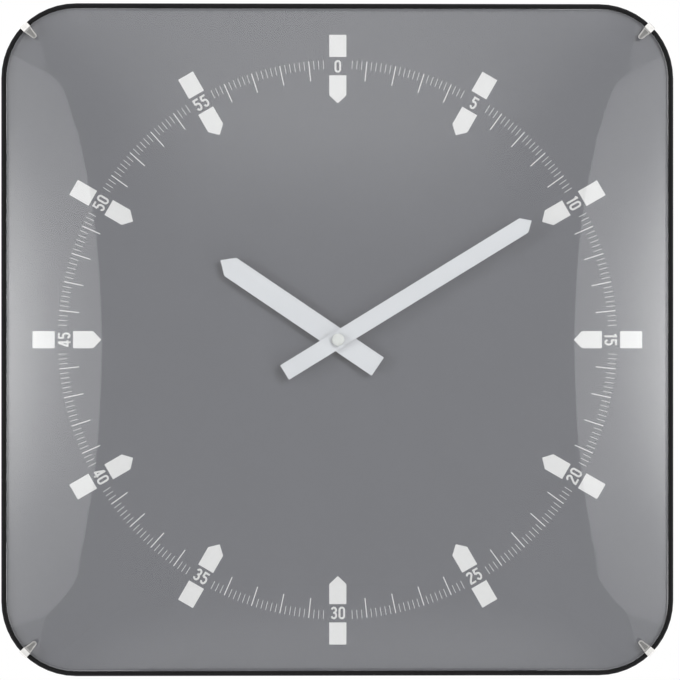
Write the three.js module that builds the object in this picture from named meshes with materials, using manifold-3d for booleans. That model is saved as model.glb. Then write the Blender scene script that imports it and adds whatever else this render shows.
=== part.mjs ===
// A square wall clock with a domed glass over a printed dial, driven by a quartz movement with one AA cell.
// Millimetres. X is right, Z is up, and the front faces -Y. The wall is the plane y = 0, and the origin is
// the seat of the nail in the hanging slot. Depths are written as y, so a smaller y is nearer the viewer.
import * as THREE from "three";
import { mergeVertices } from "three/addons/utils/BufferGeometryUtils.js";
import Module from "manifold-3d";

const library = await Module();
library.setup();

// Clearances
const seatGap = 0.05; // between two faces that rest on each other
const runningGap = 0.08; // round a shaft that turns in a hole
const looseGap = 0.3; // round a piece that is dropped into its place

// Case
const caseSize = 350;
const cornerRadius = 39;
const tightestCorner = 6; // of the rings inside the case
const nailInset = 50; // from the top of the case down to the nail's seat
const panWall = 2.5;
const sideSlope = 12; // how far the pan draws in from the flange to the wall
const flangeThickness = 3.5;
const flangeMargin = 2; // of the flange beyond the clips' feet
const lipWidth = 1.5;
const lipSetBack = 0.5; // of the lip behind the front of the glass's edge
const lipChamfer = 0.5;
const windowMargin = 6; // of the opening behind the movement, all round it
const windowRadius = 6;
const collarWall = 2;
const collarHeight = 9.5;
const ribThickness = 1.6;
const ribHeight = 7;
const nailNeckRadius = 2.5;
const nailEntryRadius = 4.6;
const nailDrop = 9; // from the nail's seat down to the middle of the entry hole

// Glass and the ring round its edge
const gasketWidth = 1;
const glassThickness = 3;
const glassRise = 20; // of the dome over its edge
const domePower = 3.5; // 2 is a plain bulge, and more is flatter in the middle
const glassSeatWidth = 3;
const glassEdgeStep = 0.2; // of the hollow, just inside the seat

// Dial and its print, from the edge of the case inwards
const dialThickness = 0.8;
const inkHeight = 0.15;
const markWidth = 8.95;
const markInset = 16.4;
const blockLength = 11.5;
const numeralBand = 9.5;
const arrowBody = 10.4;
const arrowPoint = 4.2;

// Clips and their screws
const clipThickness = 0.5;
const clipWidth = 4.6;
const clipTipWidth = 2.4;
const clipReach = 7; // over the glass
const footMargin = 2; // of a clip's foot beyond the screw's head
const screwInset = 7.5; // from the corner of the case to the screw
const screwRadius = 1.2;
const screwTipGap = 0.4; // from the screw's end to the front of the flange
const screwHeadRadius = 2.4;
const screwHeadTopRadius = 1.8;
const screwHeadHeight = 1.4;
const recessWidth = 0.7;
const recessLength = 2.9;
const recessDepth = 0.8;

// Hands, with their angles clockwise from twelve
const handThickness = 0.5;
const handTipGap = 5; // from the minute hand's tip to the points of the marks
const minuteHandWidth = 8.8;
const minuteHandPoint = 4.7;
const minuteHandTail = 32.6;
const minuteHandAngle = THREE.MathUtils.degToRad(58.4);
const hourHandLength = 73.7;
const hourHandWidth = 11.4;
const hourHandPoint = 6.2;
const hourHandTail = 25;
const hourHandAngle = THREE.MathUtils.degToRad(304.1);
const collarStep = 1.05; // of the hour hand's collar round its pipe
const handCollarHeight = 0.8;
const bushGap = 0.3; // from the threaded bush to the hour hand's collar
const handGap = 1.8; // from the hour hand to the minute hand
const capWall = 1.8;
const capHeight = 3.4;
const capBevel = 0.9;
const capBoreDepth = 2.2;

// Movement case
const washerThickness = 1;
const washerMargin = 5; // of the rubber washer round the bush
const movementRadius = 3;
const movementWall = 1.2;
const bushWall = 1.3;
const bushLength = 5.6;
const nutMargin = 1; // of the nut's flats round the bush
const nutThickness = 2;
const nutWasherThickness = 0.5;
const bridgeThickness = 1;
const bridgeMargin = 3.8; // from the bridge's sides to the case
const postRadius = 1.6;
const pegRadius = 0.9;
const bossRadius = 1.5;
const bossHeight = 1.4;
const latchWidth = 7;
const latchThickness = 1.1;
const latchReach = 3.2;
const latchSpacing = 26;

// Wheels, in layers from the dial back. A module is the pitch diameter over the count of teeth.
const wheelThickness = 0.8;
const pinionThickness = 1;
const firstLayer = 0.7; // from a plate to the middle of the wheels next to it
const layerPitch = 1.6;
const arborRadius = 0.7;
const pivotRadius = 0.45;
const pivotDepth = 0.9; // of a hole for a pivot
const endPlay = 0.1;
const minuteArborRadius = 1.7;
const minuteTipStep = 0.3; // down from the arbor to its tip, which carries the hand
const clutchSeatRadius = 1.5;
const clutchSpringRadius = 3.2;
const clutchSpringThickness = 0.2;
const clutchSlotWidth = 0.7;
const hourPipeWall = 0.77;
const motionReach = 9; // from the hands' axis to the minute wheel's, and on to the setting shaft's
const cannonTeeth = 10;
const minuteWheelTeeth = 30;
const minutePinionTeeth = 10;
const hourWheelTeeth = 40;
const settingTeeth = 10;
const minuteWheelBearing = THREE.MathUtils.degToRad(155);
const settingBearing = THREE.MathUtils.degToRad(100);
const trainReach = 9; // from the hands' axis to the third wheel's
const secondPinionTeeth = 8;
const thirdWheelTeeth = 64;
const thirdPinionTeeth = 8;
const centreWheelTeeth = 60;
const thirdBearing = THREE.MathUtils.degToRad(25);
const secondWheelTeeth = 40;
const secondModule = 0.3;
const stepPinionTeeth = 8;
const stepWheelTeeth = 48;
const stepBearing = THREE.MathUtils.degToRad(60);
const rotorPinionTeeth = 8;
const rotorModule = 0.2;
const rotorBearing = THREE.MathUtils.degToRad(70);
const addendum = 0.8; // of a tooth over the pitch circle, in modules
const dedendum = 1.15;
const toothShare = 0.78; // of the half pitch that a tooth fills on the pitch circle
const toothSlope = Math.tan(THREE.MathUtils.degToRad(17));
const leafCount = 10; // gears of up to this many teeth have straight roots and narrow tips
const leafTip = 0.75;

// Setting knob
const settingShaftRadius = 1.5;
const knobStandOff = 2.8; // from the wall
const knobRadius = 7;
const knobThickness = 2.6;
const knobTeeth = 24;
const knobToothDepth = 0.5;

// Motor and circuit
const magnetRadius = 2.6;
const magnetThickness = 1.6;
const magnetGap = 0.5;
const magnetEndGap = 0.7; // from the magnet to the rear boss
const statorThickness = 0.8;
const statorWidth = 24;
const statorSideWidth = 3.2;
const statorLeft = -4;
const statorBrow = 4.2; // of the stator over the middle of its hole
const coreWidth = 2;
const coilTubeWall = 0.6;
const cheekWidth = 1;
const windingMargin = 0.2; // of the cheeks round the winding
const boardWidth = 12.6;
const boardThickness = 0.9;
const boardLift = 1; // off the rear cover
const boardPostInset = 2;
const chipRadius = 2.8;
const chipHeight = 1;
const crystalRadius = 1;
const crystalLength = 6;
const crystalLift = 9; // of the crystal over the middle of the chip

// Battery, its bay and contacts
const batteryRadius = 7.25;
const batteryLength = 48.6;
const batteryChamfer = 0.6;
const nubRadius = 2.6;
const nubLength = 1.4;
const bayGap = 0.15;
const contactThickness = 0.4;
const contactHeight = 9;
const contactDepth = 8;
const leafBow = 1.9;
const leafGap = 0.5; // from the bowed contact to the end of the battery

// Steps round a full turn or a corner, and how far a cutting tool runs past what it cuts
const roundSteps = 24;
const smallSteps = 12;
const cornerSteps = 7;
const bevelSteps = 4;
const domeRings = 7;
const domeSideSteps = 7;
const past = 1;

// Movement, by size: as wide as the battery and its contacts need, and as deep as the layers need
const batterySpan = batteryLength + nubLength;
const contactSpan = 2 * contactThickness + leafBow + leafGap + bayGap + 3 * seatGap;
const innerHalf = (batterySpan + contactSpan) / 2;
const movementHalf = innerHalf + movementWall;
const frontDepth = firstLayer + 3 * layerPitch + layerPitch / 2;
const rearDepth = firstLayer + 2 * layerPitch + magnetThickness / 2 + magnetEndGap + bossHeight;
const movementDepth = 2 * movementWall + frontDepth + bridgeThickness + rearDepth;

// Depths of the stack, from the wall forward
const knobBack = -knobStandOff;
const knobFront = knobBack - knobThickness;
const movementBack = knobFront - runningGap;
const movementFront = movementBack - movementDepth;
const washerFront = movementFront - seatGap - washerThickness;
const dialBack = washerFront - seatGap;
const dialFace = dialBack - dialThickness;
const flangeFront = dialBack + seatGap;
const flangeBack = flangeFront + flangeThickness;
const glassSeat = dialFace - seatGap;
const glassEdgeFront = glassSeat - glassThickness;
const lipFront = glassEdgeFront + lipSetBack;
const bushFront = movementFront - bushLength;
const hourHandBack = bushFront - bushGap - handCollarHeight;
const hourPipeFront = hourHandBack - handThickness - looseGap;
const minuteHandBack = hourHandBack - handThickness - handGap;
const capBack = minuteHandBack - handThickness - seatGap;

// Layers inside the movement, by the middle of each
const plateInner = movementFront + movementWall;
const hourLayer = plateInner + firstLayer;
const minuteLayer = hourLayer + layerPitch;
const centreLayer = minuteLayer + layerPitch;
const thirdLayer = centreLayer + layerPitch;
const bridgeFront = plateInner + frontDepth;
const bridgeBack = bridgeFront + bridgeThickness;
const secondLayer = bridgeBack + firstLayer;
const stepLayer = secondLayer + layerPitch;
const rotorLayer = stepLayer + layerPitch;
const coverFront = bridgeBack + seatGap;
const coverInner = movementBack - movementWall;
const bossFront = coverInner - bossHeight;
const pivotEnd = pivotDepth - endPlay;

// Axes of the wheels in the plane of the dial, from the hands' axis
const reachAlong = (from, bearing, reach) => ({
  x: from.x + reach * Math.cos(bearing),
  z: from.z + reach * Math.sin(bearing),
});
const moduleFor = (reach, teeth, otherTeeth) => (2 * reach) / (teeth + otherTeeth);
const handsAxis = { x: 0, z: 0 };
const cannonModule = moduleFor(motionReach, cannonTeeth, minuteWheelTeeth);
const hourModule = moduleFor(motionReach, minutePinionTeeth, hourWheelTeeth);
const thirdModule = moduleFor(trainReach, secondPinionTeeth, thirdWheelTeeth);
const centreModule = moduleFor(trainReach, thirdPinionTeeth, centreWheelTeeth);
const minuteWheelAxis = reachAlong(handsAxis, minuteWheelBearing, motionReach);
const settingReach = (cannonModule * (minuteWheelTeeth + settingTeeth)) / 2;
const settingAxis = reachAlong(minuteWheelAxis, settingBearing, settingReach);
const thirdAxis = reachAlong(handsAxis, thirdBearing, trainReach);
const stepReach = (secondModule * (secondWheelTeeth + stepPinionTeeth)) / 2;
const stepAxis = reachAlong(handsAxis, stepBearing, stepReach);
const rotorReach = (rotorModule * (stepWheelTeeth + rotorPinionTeeth)) / 2;
const rotorAxis = reachAlong(stepAxis, rotorBearing, rotorReach);

// Shafts inside one another
const minuteTipRadius = minuteArborRadius - minuteTipStep;
const hourPipeRadius = minuteArborRadius + runningGap + hourPipeWall;
const bushRadius = hourPipeRadius + runningGap + bushWall;
const handCollarRadius = hourPipeRadius + collarStep;
const capRadius = minuteTipRadius + capWall;

// Bay for the battery, along the bottom of the movement
const bayBottom = -innerHalf;
const batteryHeight = bayBottom + bayGap + batteryRadius;
const bayTop = batteryHeight + batteryRadius + bayGap;
const batteryDepth = plateInner + bayGap + batteryRadius;
const batteryRight = innerHalf - seatGap - contactThickness - bayGap - nubLength;
const batteryLeft = batteryRight - batteryLength;

// Solids

function solidOf(geometry) {
  const bare = geometry.clone();
  bare.deleteAttribute("normal");
  bare.deleteAttribute("uv");
  const merged = mergeVertices(bare, 1e-4);
  const faces = new library.Mesh({
    numProp: 3,
    vertProperties: merged.attributes.position.array,
    triVerts: new Uint32Array(merged.index.array),
  });
  return new library.Manifold(faces);
}

function geometryOf(solid) {
  const faces = solid.getMesh();
  const geometry = new THREE.BufferGeometry();
  geometry.setAttribute("position", new THREE.BufferAttribute(faces.vertProperties, 3));
  geometry.setIndex(new THREE.BufferAttribute(faces.triVerts, 1));
  const flat = geometry.toNonIndexed();
  flat.computeVertexNormals();
  return flat;
}

const joined = (...solids) => solids.reduce((whole, solid) => whole.add(solid));
const cut = (whole, ...tools) => tools.reduce((left, tool) => left.subtract(tool), whole);

// A round bar along Y. Its corners lie on the radius.
function bar(radius, front, back, axis = handsAxis, steps = roundSteps) {
  const geometry = new THREE.CylinderGeometry(radius, radius, back - front, steps);
  geometry.translate(axis.x, (front + back) / 2, axis.z);
  return solidOf(geometry);
}

// The tool for a round hole along Y. Its flats lie on the radius, so that a bar of that radius goes in.
function hole(radius, front, back, axis = handsAxis, steps = roundSteps) {
  return bar(radius / Math.cos(Math.PI / steps), front, back, axis, steps);
}

// A round bar along X.
function crossBar(radius, left, right, depth, height) {
  const geometry = new THREE.CylinderGeometry(radius, radius, right - left, smallSteps);
  geometry.rotateZ(Math.PI / 2);
  geometry.translate((left + right) / 2, depth, height);
  return solidOf(geometry);
}

function block(left, right, front, back, bottom, top) {
  const geometry = new THREE.BoxGeometry(right - left, back - front, top - bottom);
  geometry.translate((left + right) / 2, (front + back) / 2, (bottom + top) / 2);
  return solidOf(geometry);
}

// A block round a middle height.
function band(left, right, front, back, middle, height) {
  return block(left, right, front, back, middle - height / 2, middle + height / 2);
}

const points2d = (pairs) => pairs.map(([x, y]) => new THREE.Vector2(x, y));

// A flat piece of the given outline, which is drawn in X and Z.
function plate(outline, front, back) {
  const shape = new THREE.Shape(points2d(outline));
  const geometry = new THREE.ExtrudeGeometry(shape, { depth: back - front, bevelEnabled: false });
  geometry.rotateX(Math.PI / 2);
  geometry.translate(0, back, 0);
  return solidOf(geometry);
}

// A turned piece about the Y axis, from radii and depths.
function turned(profile, steps = roundSteps) {
  return solidOf(new THREE.LatheGeometry(points2d(profile), steps));
}

// A square with round corners, anticlockwise seen from the front, with each side in sideSteps lengths.
function roundedSquare(half, radius, sideSteps = 1) {
  const points = [];
  const straight = half - radius;
  for (let corner = 0; corner < 4; corner++) {
    const start = (corner * Math.PI) / 2;
    const across = straight * Math.sign(Math.cos(start + Math.PI / 4));
    const up = straight * Math.sign(Math.sin(start + Math.PI / 4));
    for (let step = 0; step <= cornerSteps; step++) {
      const angle = start + (step / cornerSteps) * (Math.PI / 2);
      points.push([across + radius * Math.cos(angle), up + radius * Math.sin(angle)]);
    }
    const [fromX, fromZ] = points[points.length - 1];
    for (let step = 1; step < sideSteps; step++) {
      const length = (step / sideSteps) * 2 * straight;
      points.push([fromX - length * Math.cos(start), fromZ - length * Math.sin(start)]);
    }
  }
  return points;
}

const ringAt = (outline, depth) => outline.map(([x, z]) => [x, depth, z]);

// A closed skin over rings of points in step. As a loop, the last ring joins the first, and otherwise a fan
// closes each end, the first one facing back and the last one facing forward.
function skin(rings, loop) {
  const size = rings[0].length;
  const points = rings.flat();
  const faces = [];
  const pairs = loop ? rings.length : rings.length - 1;
  for (let ring = 0; ring < pairs; ring++) {
    const here = ring * size;
    const there = ((ring + 1) % rings.length) * size;
    for (let step = 0; step < size; step++) {
      const next = (step + 1) % size;
      faces.push(here + step, here + next, there + step);
      faces.push(here + next, there + next, there + step);
    }
  }
  if (!loop) {
    const lastRing = (rings.length - 1) * size;
    const middleOf = (ring) => [0, ring.reduce((sum, point) => sum + point[1], 0) / size, 0];
    const first = points.push(middleOf(rings[0])) - 1;
    const last = points.push(middleOf(rings[rings.length - 1])) - 1;
    for (let step = 0; step < size; step++) {
      const next = (step + 1) % size;
      faces.push(first, next, step);
      faces.push(last, lastRing + step, lastRing + next);
    }
  }
  const geometry = new THREE.BufferGeometry();
  geometry.setAttribute("position", new THREE.Float32BufferAttribute(points.flat(), 3));
  geometry.setIndex(faces);
  return solidOf(geometry);
}

// Case

const caseHalf = caseSize / 2;
const nailHeight = caseHalf - nailInset; // over the hands' axis
const cornerAngles = [45, 135, 225, 315].map(THREE.MathUtils.degToRad);
const diagonalOf = (half, radius) => (half - radius) * Math.SQRT2 + radius;
const caseCorner = diagonalOf(caseHalf, cornerRadius);
const screwReach = caseCorner - screwInset;
const screwAxis = (angle) => reachAlong(handsAxis, angle, screwReach);
const footLength = screwInset + screwHeadRadius + footMargin;
const flangeWidth = footLength + flangeMargin;
const floorInset = flangeWidth + sideSlope;
const windowHalf = movementHalf + windowMargin;
const collarHalf = windowHalf + collarWall;
const collarRadius = windowRadius + collarWall;
const floorFront = -panWall;

function caseOutline(inset) {
  return roundedSquare(caseHalf - inset, Math.max(cornerRadius - inset, tightestCorner));
}

const caseRing = (inset, depth) => ringAt(caseOutline(inset), depth);

function trayRibs(wallAcross) {
  const start = collarHalf - collarWall / 2;
  const end = caseHalf - floorInset - wallAcross / 2;
  const side = collarHalf - collarRadius;
  const ribAt = (middle) => band(start, end, floorFront - ribHeight, floorFront / 2, middle, ribThickness);
  const pair = joined(ribAt(-side), ribAt(side));
  return [0, 90, 180, 270].map((degrees) => pair.rotate([0, degrees, 0]));
}

function nailSlot() {
  const front = floorFront - past;
  const entryHeight = nailHeight - nailDrop;
  return joined(
    bar(nailEntryRadius, front, past, { x: 0, z: entryHeight }),
    bar(nailNeckRadius, front, past, { x: 0, z: nailHeight }),
    block(-nailNeckRadius, nailNeckRadius, front, past, entryHeight, nailHeight),
  );
}

function caseTray() {
  const panDepth = -flangeBack;
  const slopeAt = (depth) => floorInset + (depth / panDepth) * sideSlope;
  const wallAcross = panWall * Math.hypot(1, sideSlope / panDepth);
  const collarFront = floorFront - collarHeight;
  const windowOutline = roundedSquare(windowHalf, windowRadius);
  const collarOutline = roundedSquare(collarHalf, collarRadius);
  const shell = skin(
    [
      ringAt(windowOutline, 0),
      caseRing(floorInset, 0),
      caseRing(flangeWidth, flangeBack),
      caseRing(0, flangeBack),
      caseRing(0, lipFront + lipChamfer),
      caseRing(lipChamfer, lipFront),
      caseRing(lipWidth, lipFront),
      caseRing(lipWidth, flangeFront),
      caseRing(slopeAt(flangeFront) + wallAcross, flangeFront),
      caseRing(slopeAt(floorFront) + wallAcross, floorFront),
      ringAt(collarOutline, floorFront),
      ringAt(collarOutline, collarFront),
      ringAt(windowOutline, collarFront),
    ],
    true,
  );
  const screwHoles = cornerAngles.map((angle) =>
    hole(screwRadius + runningGap, flangeFront - past, flangeBack + past, screwAxis(angle), smallSteps),
  );
  return cut(joined(shell, ...trayRibs(wallAcross)), nailSlot(), ...screwHoles);
}

function edgeGasket() {
  const outer = lipWidth + seatGap;
  const inner = outer + gasketWidth;
  const rings = [
    caseRing(inner, glassSeat),
    caseRing(outer, glassSeat),
    caseRing(outer, glassEdgeFront),
    caseRing(inner, glassEdgeFront),
  ];
  return skin(rings, true);
}

// Glass

const glassInset = lipWidth + gasketWidth + 2 * seatGap;
const glassHalf = caseHalf - glassInset;
const glassRadius = cornerRadius - glassInset;
const glassCorner = diagonalOf(glassHalf, glassRadius);
const bulge = (x, z, half) => (1 - Math.abs(x / half) ** domePower) * (1 - Math.abs(z / half) ** domePower);
const glassFrontAt = (x, z) => glassEdgeFront - glassRise * Math.max(bulge(x, z, glassHalf), 0);

function glassDome() {
  const hollowHalf = glassHalf - glassSeatWidth;
  const hollowRadius = glassRadius - glassSeatWidth;
  const hollowAt = (x, z) => glassSeat - glassEdgeStep - glassRise * Math.max(bulge(x, z, hollowHalf), 0);
  const shares = Array.from({ length: domeRings }, (_, ring) =>
    Math.sin(((ring + 1) / domeRings) * (Math.PI / 2)),
  );
  const domedRing = (half, radius, share, depthAt) =>
    roundedSquare(half * share, radius * share, domeSideSteps).map(([x, z]) => [x, depthAt(x, z), z]);
  const hollowRings = shares.map((share) => domedRing(hollowHalf, hollowRadius, share, hollowAt));
  const frontRings = shares.map((share) => domedRing(glassHalf, glassRadius, share, glassFrontAt));
  const seatInner = ringAt(roundedSquare(hollowHalf, hollowRadius, domeSideSteps), glassSeat);
  const seatOuter = ringAt(roundedSquare(glassHalf, glassRadius, domeSideSteps), glassSeat);
  return skin([...hollowRings, seatInner, seatOuter, ...frontRings.reverse()], false);
}

// Dial. The print stands a little proud of the plate.

const blockEnd = caseHalf - markInset;
const blockStart = blockEnd - blockLength;
const arrowEnd = blockStart - numeralBand;
const arrowShoulder = arrowEnd - arrowBody;
const arrowTip = arrowShoulder - arrowPoint;

function dialPlate() {
  const ground = plate(caseOutline(lipWidth + looseGap), dialFace, dialBack);
  const half = markWidth / 2;
  const blockOutline = [
    [-half, blockStart],
    [half, blockStart],
    [half, blockEnd],
    [-half, blockEnd],
  ];
  const arrowOutline = [
    [0, arrowTip],
    [half, arrowShoulder],
    [half, arrowEnd],
    [-half, arrowEnd],
    [-half, arrowShoulder],
  ];
  const inkBack = dialFace + dialThickness / 2;
  const mark = joined(
    plate(blockOutline, dialFace - inkHeight, inkBack),
    plate(arrowOutline, dialFace - inkHeight, inkBack),
  );
  const marks = Array.from({ length: 12 }, (_, hour) => mark.rotate([0, hour * 30, 0]));
  return cut(joined(ground, ...marks), hole(bushRadius + looseGap, dialFace - past, dialBack + past));
}

// Clips at the corners, drawn along +X and then turned to their corners, with their screws

const footFront = flangeBack + seatGap;
const footBack = footFront + clipThickness;

function glassClip() {
  const web = caseCorner + seatGap;
  const outside = web + clipThickness;
  const bendCut = clipThickness / 2;
  const tip = glassCorner - clipReach;
  const overGlass = (reach) => glassFrontAt(reach / Math.SQRT2, reach / Math.SQRT2) - 2 * seatGap;
  const tipBack = overGlass(tip);
  const edgeBack = Math.min(overGlass(glassCorner), lipFront - seatGap);
  const profile = [
    [tip, tipBack],
    [glassCorner, edgeBack],
    [web, edgeBack],
    [web, footFront],
    [web - footLength, footFront],
    [web - footLength, footBack],
    [outside - bendCut, footBack],
    [outside, footBack - bendCut],
    [outside, edgeBack - bendCut],
    [outside - bendCut, edgeBack - clipThickness],
    [glassCorner, edgeBack - clipThickness],
    [tip, tipBack - clipThickness],
  ];
  const depth = clipWidth;
  const strip = new THREE.ExtrudeGeometry(new THREE.Shape(points2d(profile)), { depth, bevelEnabled: false });
  strip.translate(0, 0, -clipWidth / 2);
  const tipRadius = clipTipWidth / 2;
  const tipRound = Array.from({ length: smallSteps / 2 + 1 }, (_, step) => {
    const angle = Math.PI / 2 + (step / smallSteps) * 2 * Math.PI;
    return [tip + tipRadius + tipRadius * Math.cos(angle), tipRadius * Math.sin(angle)];
  });
  const side = clipWidth / 2 + past;
  const tabOutline = [
    ...tipRound,
    [glassCorner, -clipWidth / 2],
    [glassCorner, -side],
    [outside + past, -side],
    [outside + past, side],
    [glassCorner, side],
    [glassCorner, clipWidth / 2],
  ];
  const tab = plate(tabOutline, tipBack - clipThickness - past, footBack + past);
  const foot = block(web - footLength - past, outside + past, footFront - past, footBack + past, -side, side);
  const screwHoleAxis = { x: screwReach, z: 0 };
  return cut(
    solidOf(strip).intersect(joined(tab, foot)),
    hole(screwRadius + runningGap, footFront - past, footBack + past, screwHoleAxis, smallSteps),
  );
}

function clipScrew() {
  const headFront = footBack + seatGap;
  const headMiddle = headFront + screwHeadHeight / 2;
  const headBack = headFront + screwHeadHeight;
  const screw = turned(
    [
      [0, flangeFront + screwTipGap],
      [screwRadius, flangeFront + screwTipGap],
      [screwRadius, headFront],
      [screwHeadRadius, headFront],
      [screwHeadRadius, headMiddle],
      [screwHeadTopRadius, headBack],
      [0, headBack],
    ],
    smallSteps,
  );
  const recessFront = headBack - recessDepth;
  const upright = band(-recessWidth / 2, recessWidth / 2, recessFront, headBack + past, 0, recessLength);
  const level = band(-recessLength / 2, recessLength / 2, recessFront, headBack + past, 0, recessWidth);
  return cut(screw, upright, level);
}

// Hands, drawn towards twelve

function handBlade(width, length, point, tail, back) {
  const half = width / 2;
  const outline = [
    [-half, -tail],
    [half, -tail],
    [half, length - point],
    [0, length],
    [-half, length - point],
  ];
  return plate(outline, back - handThickness, back);
}

function hourHand() {
  const blade = handBlade(hourHandWidth, hourHandLength, hourHandPoint, hourHandTail, hourHandBack);
  const collarBack = hourHandBack + handCollarHeight;
  const collar = bar(handCollarRadius, hourHandBack - handThickness / 2, collarBack);
  const bore = hole(hourPipeRadius + seatGap, hourHandBack - past, collarBack + past);
  return cut(joined(blade, collar), bore);
}

function minuteHand() {
  const length = arrowTip - handTipGap;
  const blade = handBlade(minuteHandWidth, length, minuteHandPoint, minuteHandTail, minuteHandBack);
  return cut(blade, hole(minuteTipRadius + seatGap, minuteHandBack - past, minuteHandBack + past));
}

function handCap() {
  const front = capBack - capHeight;
  const rim = Array.from({ length: bevelSteps + 1 }, (_, step) => {
    const angle = (step / bevelSteps) * (Math.PI / 2);
    return [capRadius - capBevel + capBevel * Math.sin(angle), front + capBevel - capBevel * Math.cos(angle)];
  });
  const body = turned([[0, front], ...rim, [capRadius, capBack], [0, capBack]]);
  return cut(body, hole(minuteTipRadius + seatGap, capBack - capBoreDepth, capBack + past));
}

// Gears. A phase is the bearing of the middle of one tooth.

function gearOutline(teeth, module, phase) {
  const isPinion = teeth <= leafCount;
  const pitchRadius = (teeth * module) / 2;
  const tipRadius = pitchRadius + addendum * module;
  const rootRadius = pitchRadius - dedendum * module;
  const pitchHalf = (toothShare * Math.PI) / (2 * teeth);
  const tipHalf = pitchHalf - (addendum * module * toothSlope) / pitchRadius;
  const rootHalf = pitchHalf + (dedendum * module * toothSlope) / pitchRadius;
  const wheelFlank = [
    [rootRadius, rootHalf],
    [tipRadius, tipHalf],
  ];
  const pinionFlank = [
    [rootRadius, pitchHalf],
    [pitchRadius, pitchHalf],
    [tipRadius, tipHalf * leafTip],
  ];
  const flank = isPinion ? pinionFlank : wheelFlank;
  const rising = flank.map(([radius, half]) => [radius, -half]);
  const tooth = [...rising, ...flank.reverse()];
  const at = (radius, angle) => [radius * Math.cos(angle), radius * Math.sin(angle)];
  const middles = Array.from({ length: teeth }, (_, index) => phase + (index * 2 * Math.PI) / teeth);
  return middles.flatMap((middle) => tooth.map(([radius, offset]) => at(radius, middle + offset)));
}

function gear(teeth, module, phase, middle, thickness) {
  return plate(gearOutline(teeth, module, phase), middle - thickness / 2, middle + thickness / 2);
}

// The phase that sets a gap of a gear on a tooth of the other one, which lies back along the bearing.
function meshedPhase(teeth, otherTeeth, otherPhase, bearing) {
  return bearing + Math.PI - (otherTeeth * (otherPhase - bearing) + Math.PI) / teeth;
}

const cannonPhase = minuteWheelBearing;
const minuteWheelPhase = meshedPhase(minuteWheelTeeth, cannonTeeth, cannonPhase, minuteWheelBearing);
const settingPhase = meshedPhase(settingTeeth, minuteWheelTeeth, minuteWheelPhase, settingBearing);
const minutePinionPhase = meshedPhase(minutePinionTeeth, hourWheelTeeth, 0, minuteWheelBearing);
const thirdWheelPhase = meshedPhase(thirdWheelTeeth, secondPinionTeeth, 0, thirdBearing);
const thirdPinionPhase = meshedPhase(thirdPinionTeeth, centreWheelTeeth, 0, thirdBearing);
const stepPinionPhase = meshedPhase(stepPinionTeeth, secondWheelTeeth, 0, stepBearing);
const rotorPinionPhase = meshedPhase(rotorPinionTeeth, stepWheelTeeth, 0, rotorBearing);

// An arbor between two plates, with a thin pivot in a hole of each.
function arbor(plateFront, plateBack) {
  return joined(
    bar(arborRadius, plateFront + endPlay, plateBack - endPlay, handsAxis, smallSteps),
    bar(pivotRadius, plateFront - pivotEnd, plateBack + pivotEnd, handsAxis, smallSteps),
  );
}

const pivotHole = (axis, front, back) => hole(pivotRadius + runningGap, front, back, axis, smallSteps);

function hourWheel() {
  const wheel = gear(hourWheelTeeth, hourModule, 0, hourLayer, wheelThickness);
  const pipe = bar(hourPipeRadius, hourPipeFront, hourLayer);
  const bore = hole(minuteArborRadius + runningGap, hourPipeFront - past, hourLayer + past);
  return cut(joined(wheel, pipe), bore);
}

const minuteArborBack = centreLayer + wheelThickness / 2 + runningGap;
const centreBoreFront = minuteArborBack - pivotDepth;

function minuteArbor() {
  const tipFront = capBack - capBoreDepth + seatGap;
  const shoulder = minuteHandBack + seatGap;
  return cut(
    joined(
      bar(minuteTipRadius, tipFront, shoulder + past),
      bar(minuteArborRadius, shoulder, minuteLayer - pinionThickness / 2 + seatGap),
      gear(cannonTeeth, cannonModule, cannonPhase, minuteLayer, pinionThickness),
      bar(clutchSeatRadius, minuteLayer, minuteArborBack),
    ),
    pivotHole(handsAxis, centreBoreFront, minuteArborBack + past),
  );
}

function clutchSpring() {
  const front = minuteLayer + pinionThickness / 2 + seatGap;
  const back = front + clutchSpringThickness;
  const slotStart = clutchSeatRadius + clutchSlotWidth;
  const slot = band(slotStart, clutchSpringRadius + past, front - past, back + past, 0, clutchSlotWidth);
  return cut(
    bar(clutchSpringRadius, front, back),
    hole(clutchSeatRadius + seatGap, front - past, back + past),
    ...[0, 120, 240].map((degrees) => slot.rotate([0, degrees, 0])),
  );
}

function minuteWheel() {
  return joined(
    gear(minuteWheelTeeth, cannonModule, minuteWheelPhase, minuteLayer, wheelThickness),
    gear(minutePinionTeeth, hourModule, minutePinionPhase, hourLayer, pinionThickness),
    arbor(plateInner, bridgeFront),
  );
}

function centreWheel() {
  const wheel = gear(centreWheelTeeth, centreModule, 0, centreLayer, wheelThickness);
  return cut(wheel, hole(clutchSeatRadius + runningGap, centreLayer - past, centreLayer + past));
}

function thirdWheel() {
  return joined(
    gear(thirdWheelTeeth, thirdModule, thirdWheelPhase, thirdLayer, wheelThickness),
    gear(thirdPinionTeeth, centreModule, thirdPinionPhase, centreLayer, pinionThickness),
    arbor(plateInner, bridgeFront),
  );
}

function secondWheel() {
  return joined(
    gear(secondWheelTeeth, secondModule, 0, secondLayer, wheelThickness),
    gear(secondPinionTeeth, thirdModule, 0, thirdLayer, pinionThickness),
    arbor(minuteArborBack, bossFront),
  );
}

function stepWheel() {
  return joined(
    gear(stepWheelTeeth, rotorModule, 0, stepLayer, wheelThickness),
    gear(stepPinionTeeth, secondModule, stepPinionPhase, secondLayer, pinionThickness),
    arbor(bridgeBack, bossFront),
  );
}

function motorRotor() {
  return joined(
    gear(rotorPinionTeeth, rotorModule, rotorPinionPhase, stepLayer, pinionThickness),
    bar(magnetRadius, rotorLayer - magnetThickness / 2, rotorLayer + magnetThickness / 2),
    bar(pivotRadius, bridgeBack - pivotEnd, bossFront + pivotEnd, handsAxis, smallSteps),
  );
}

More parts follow.
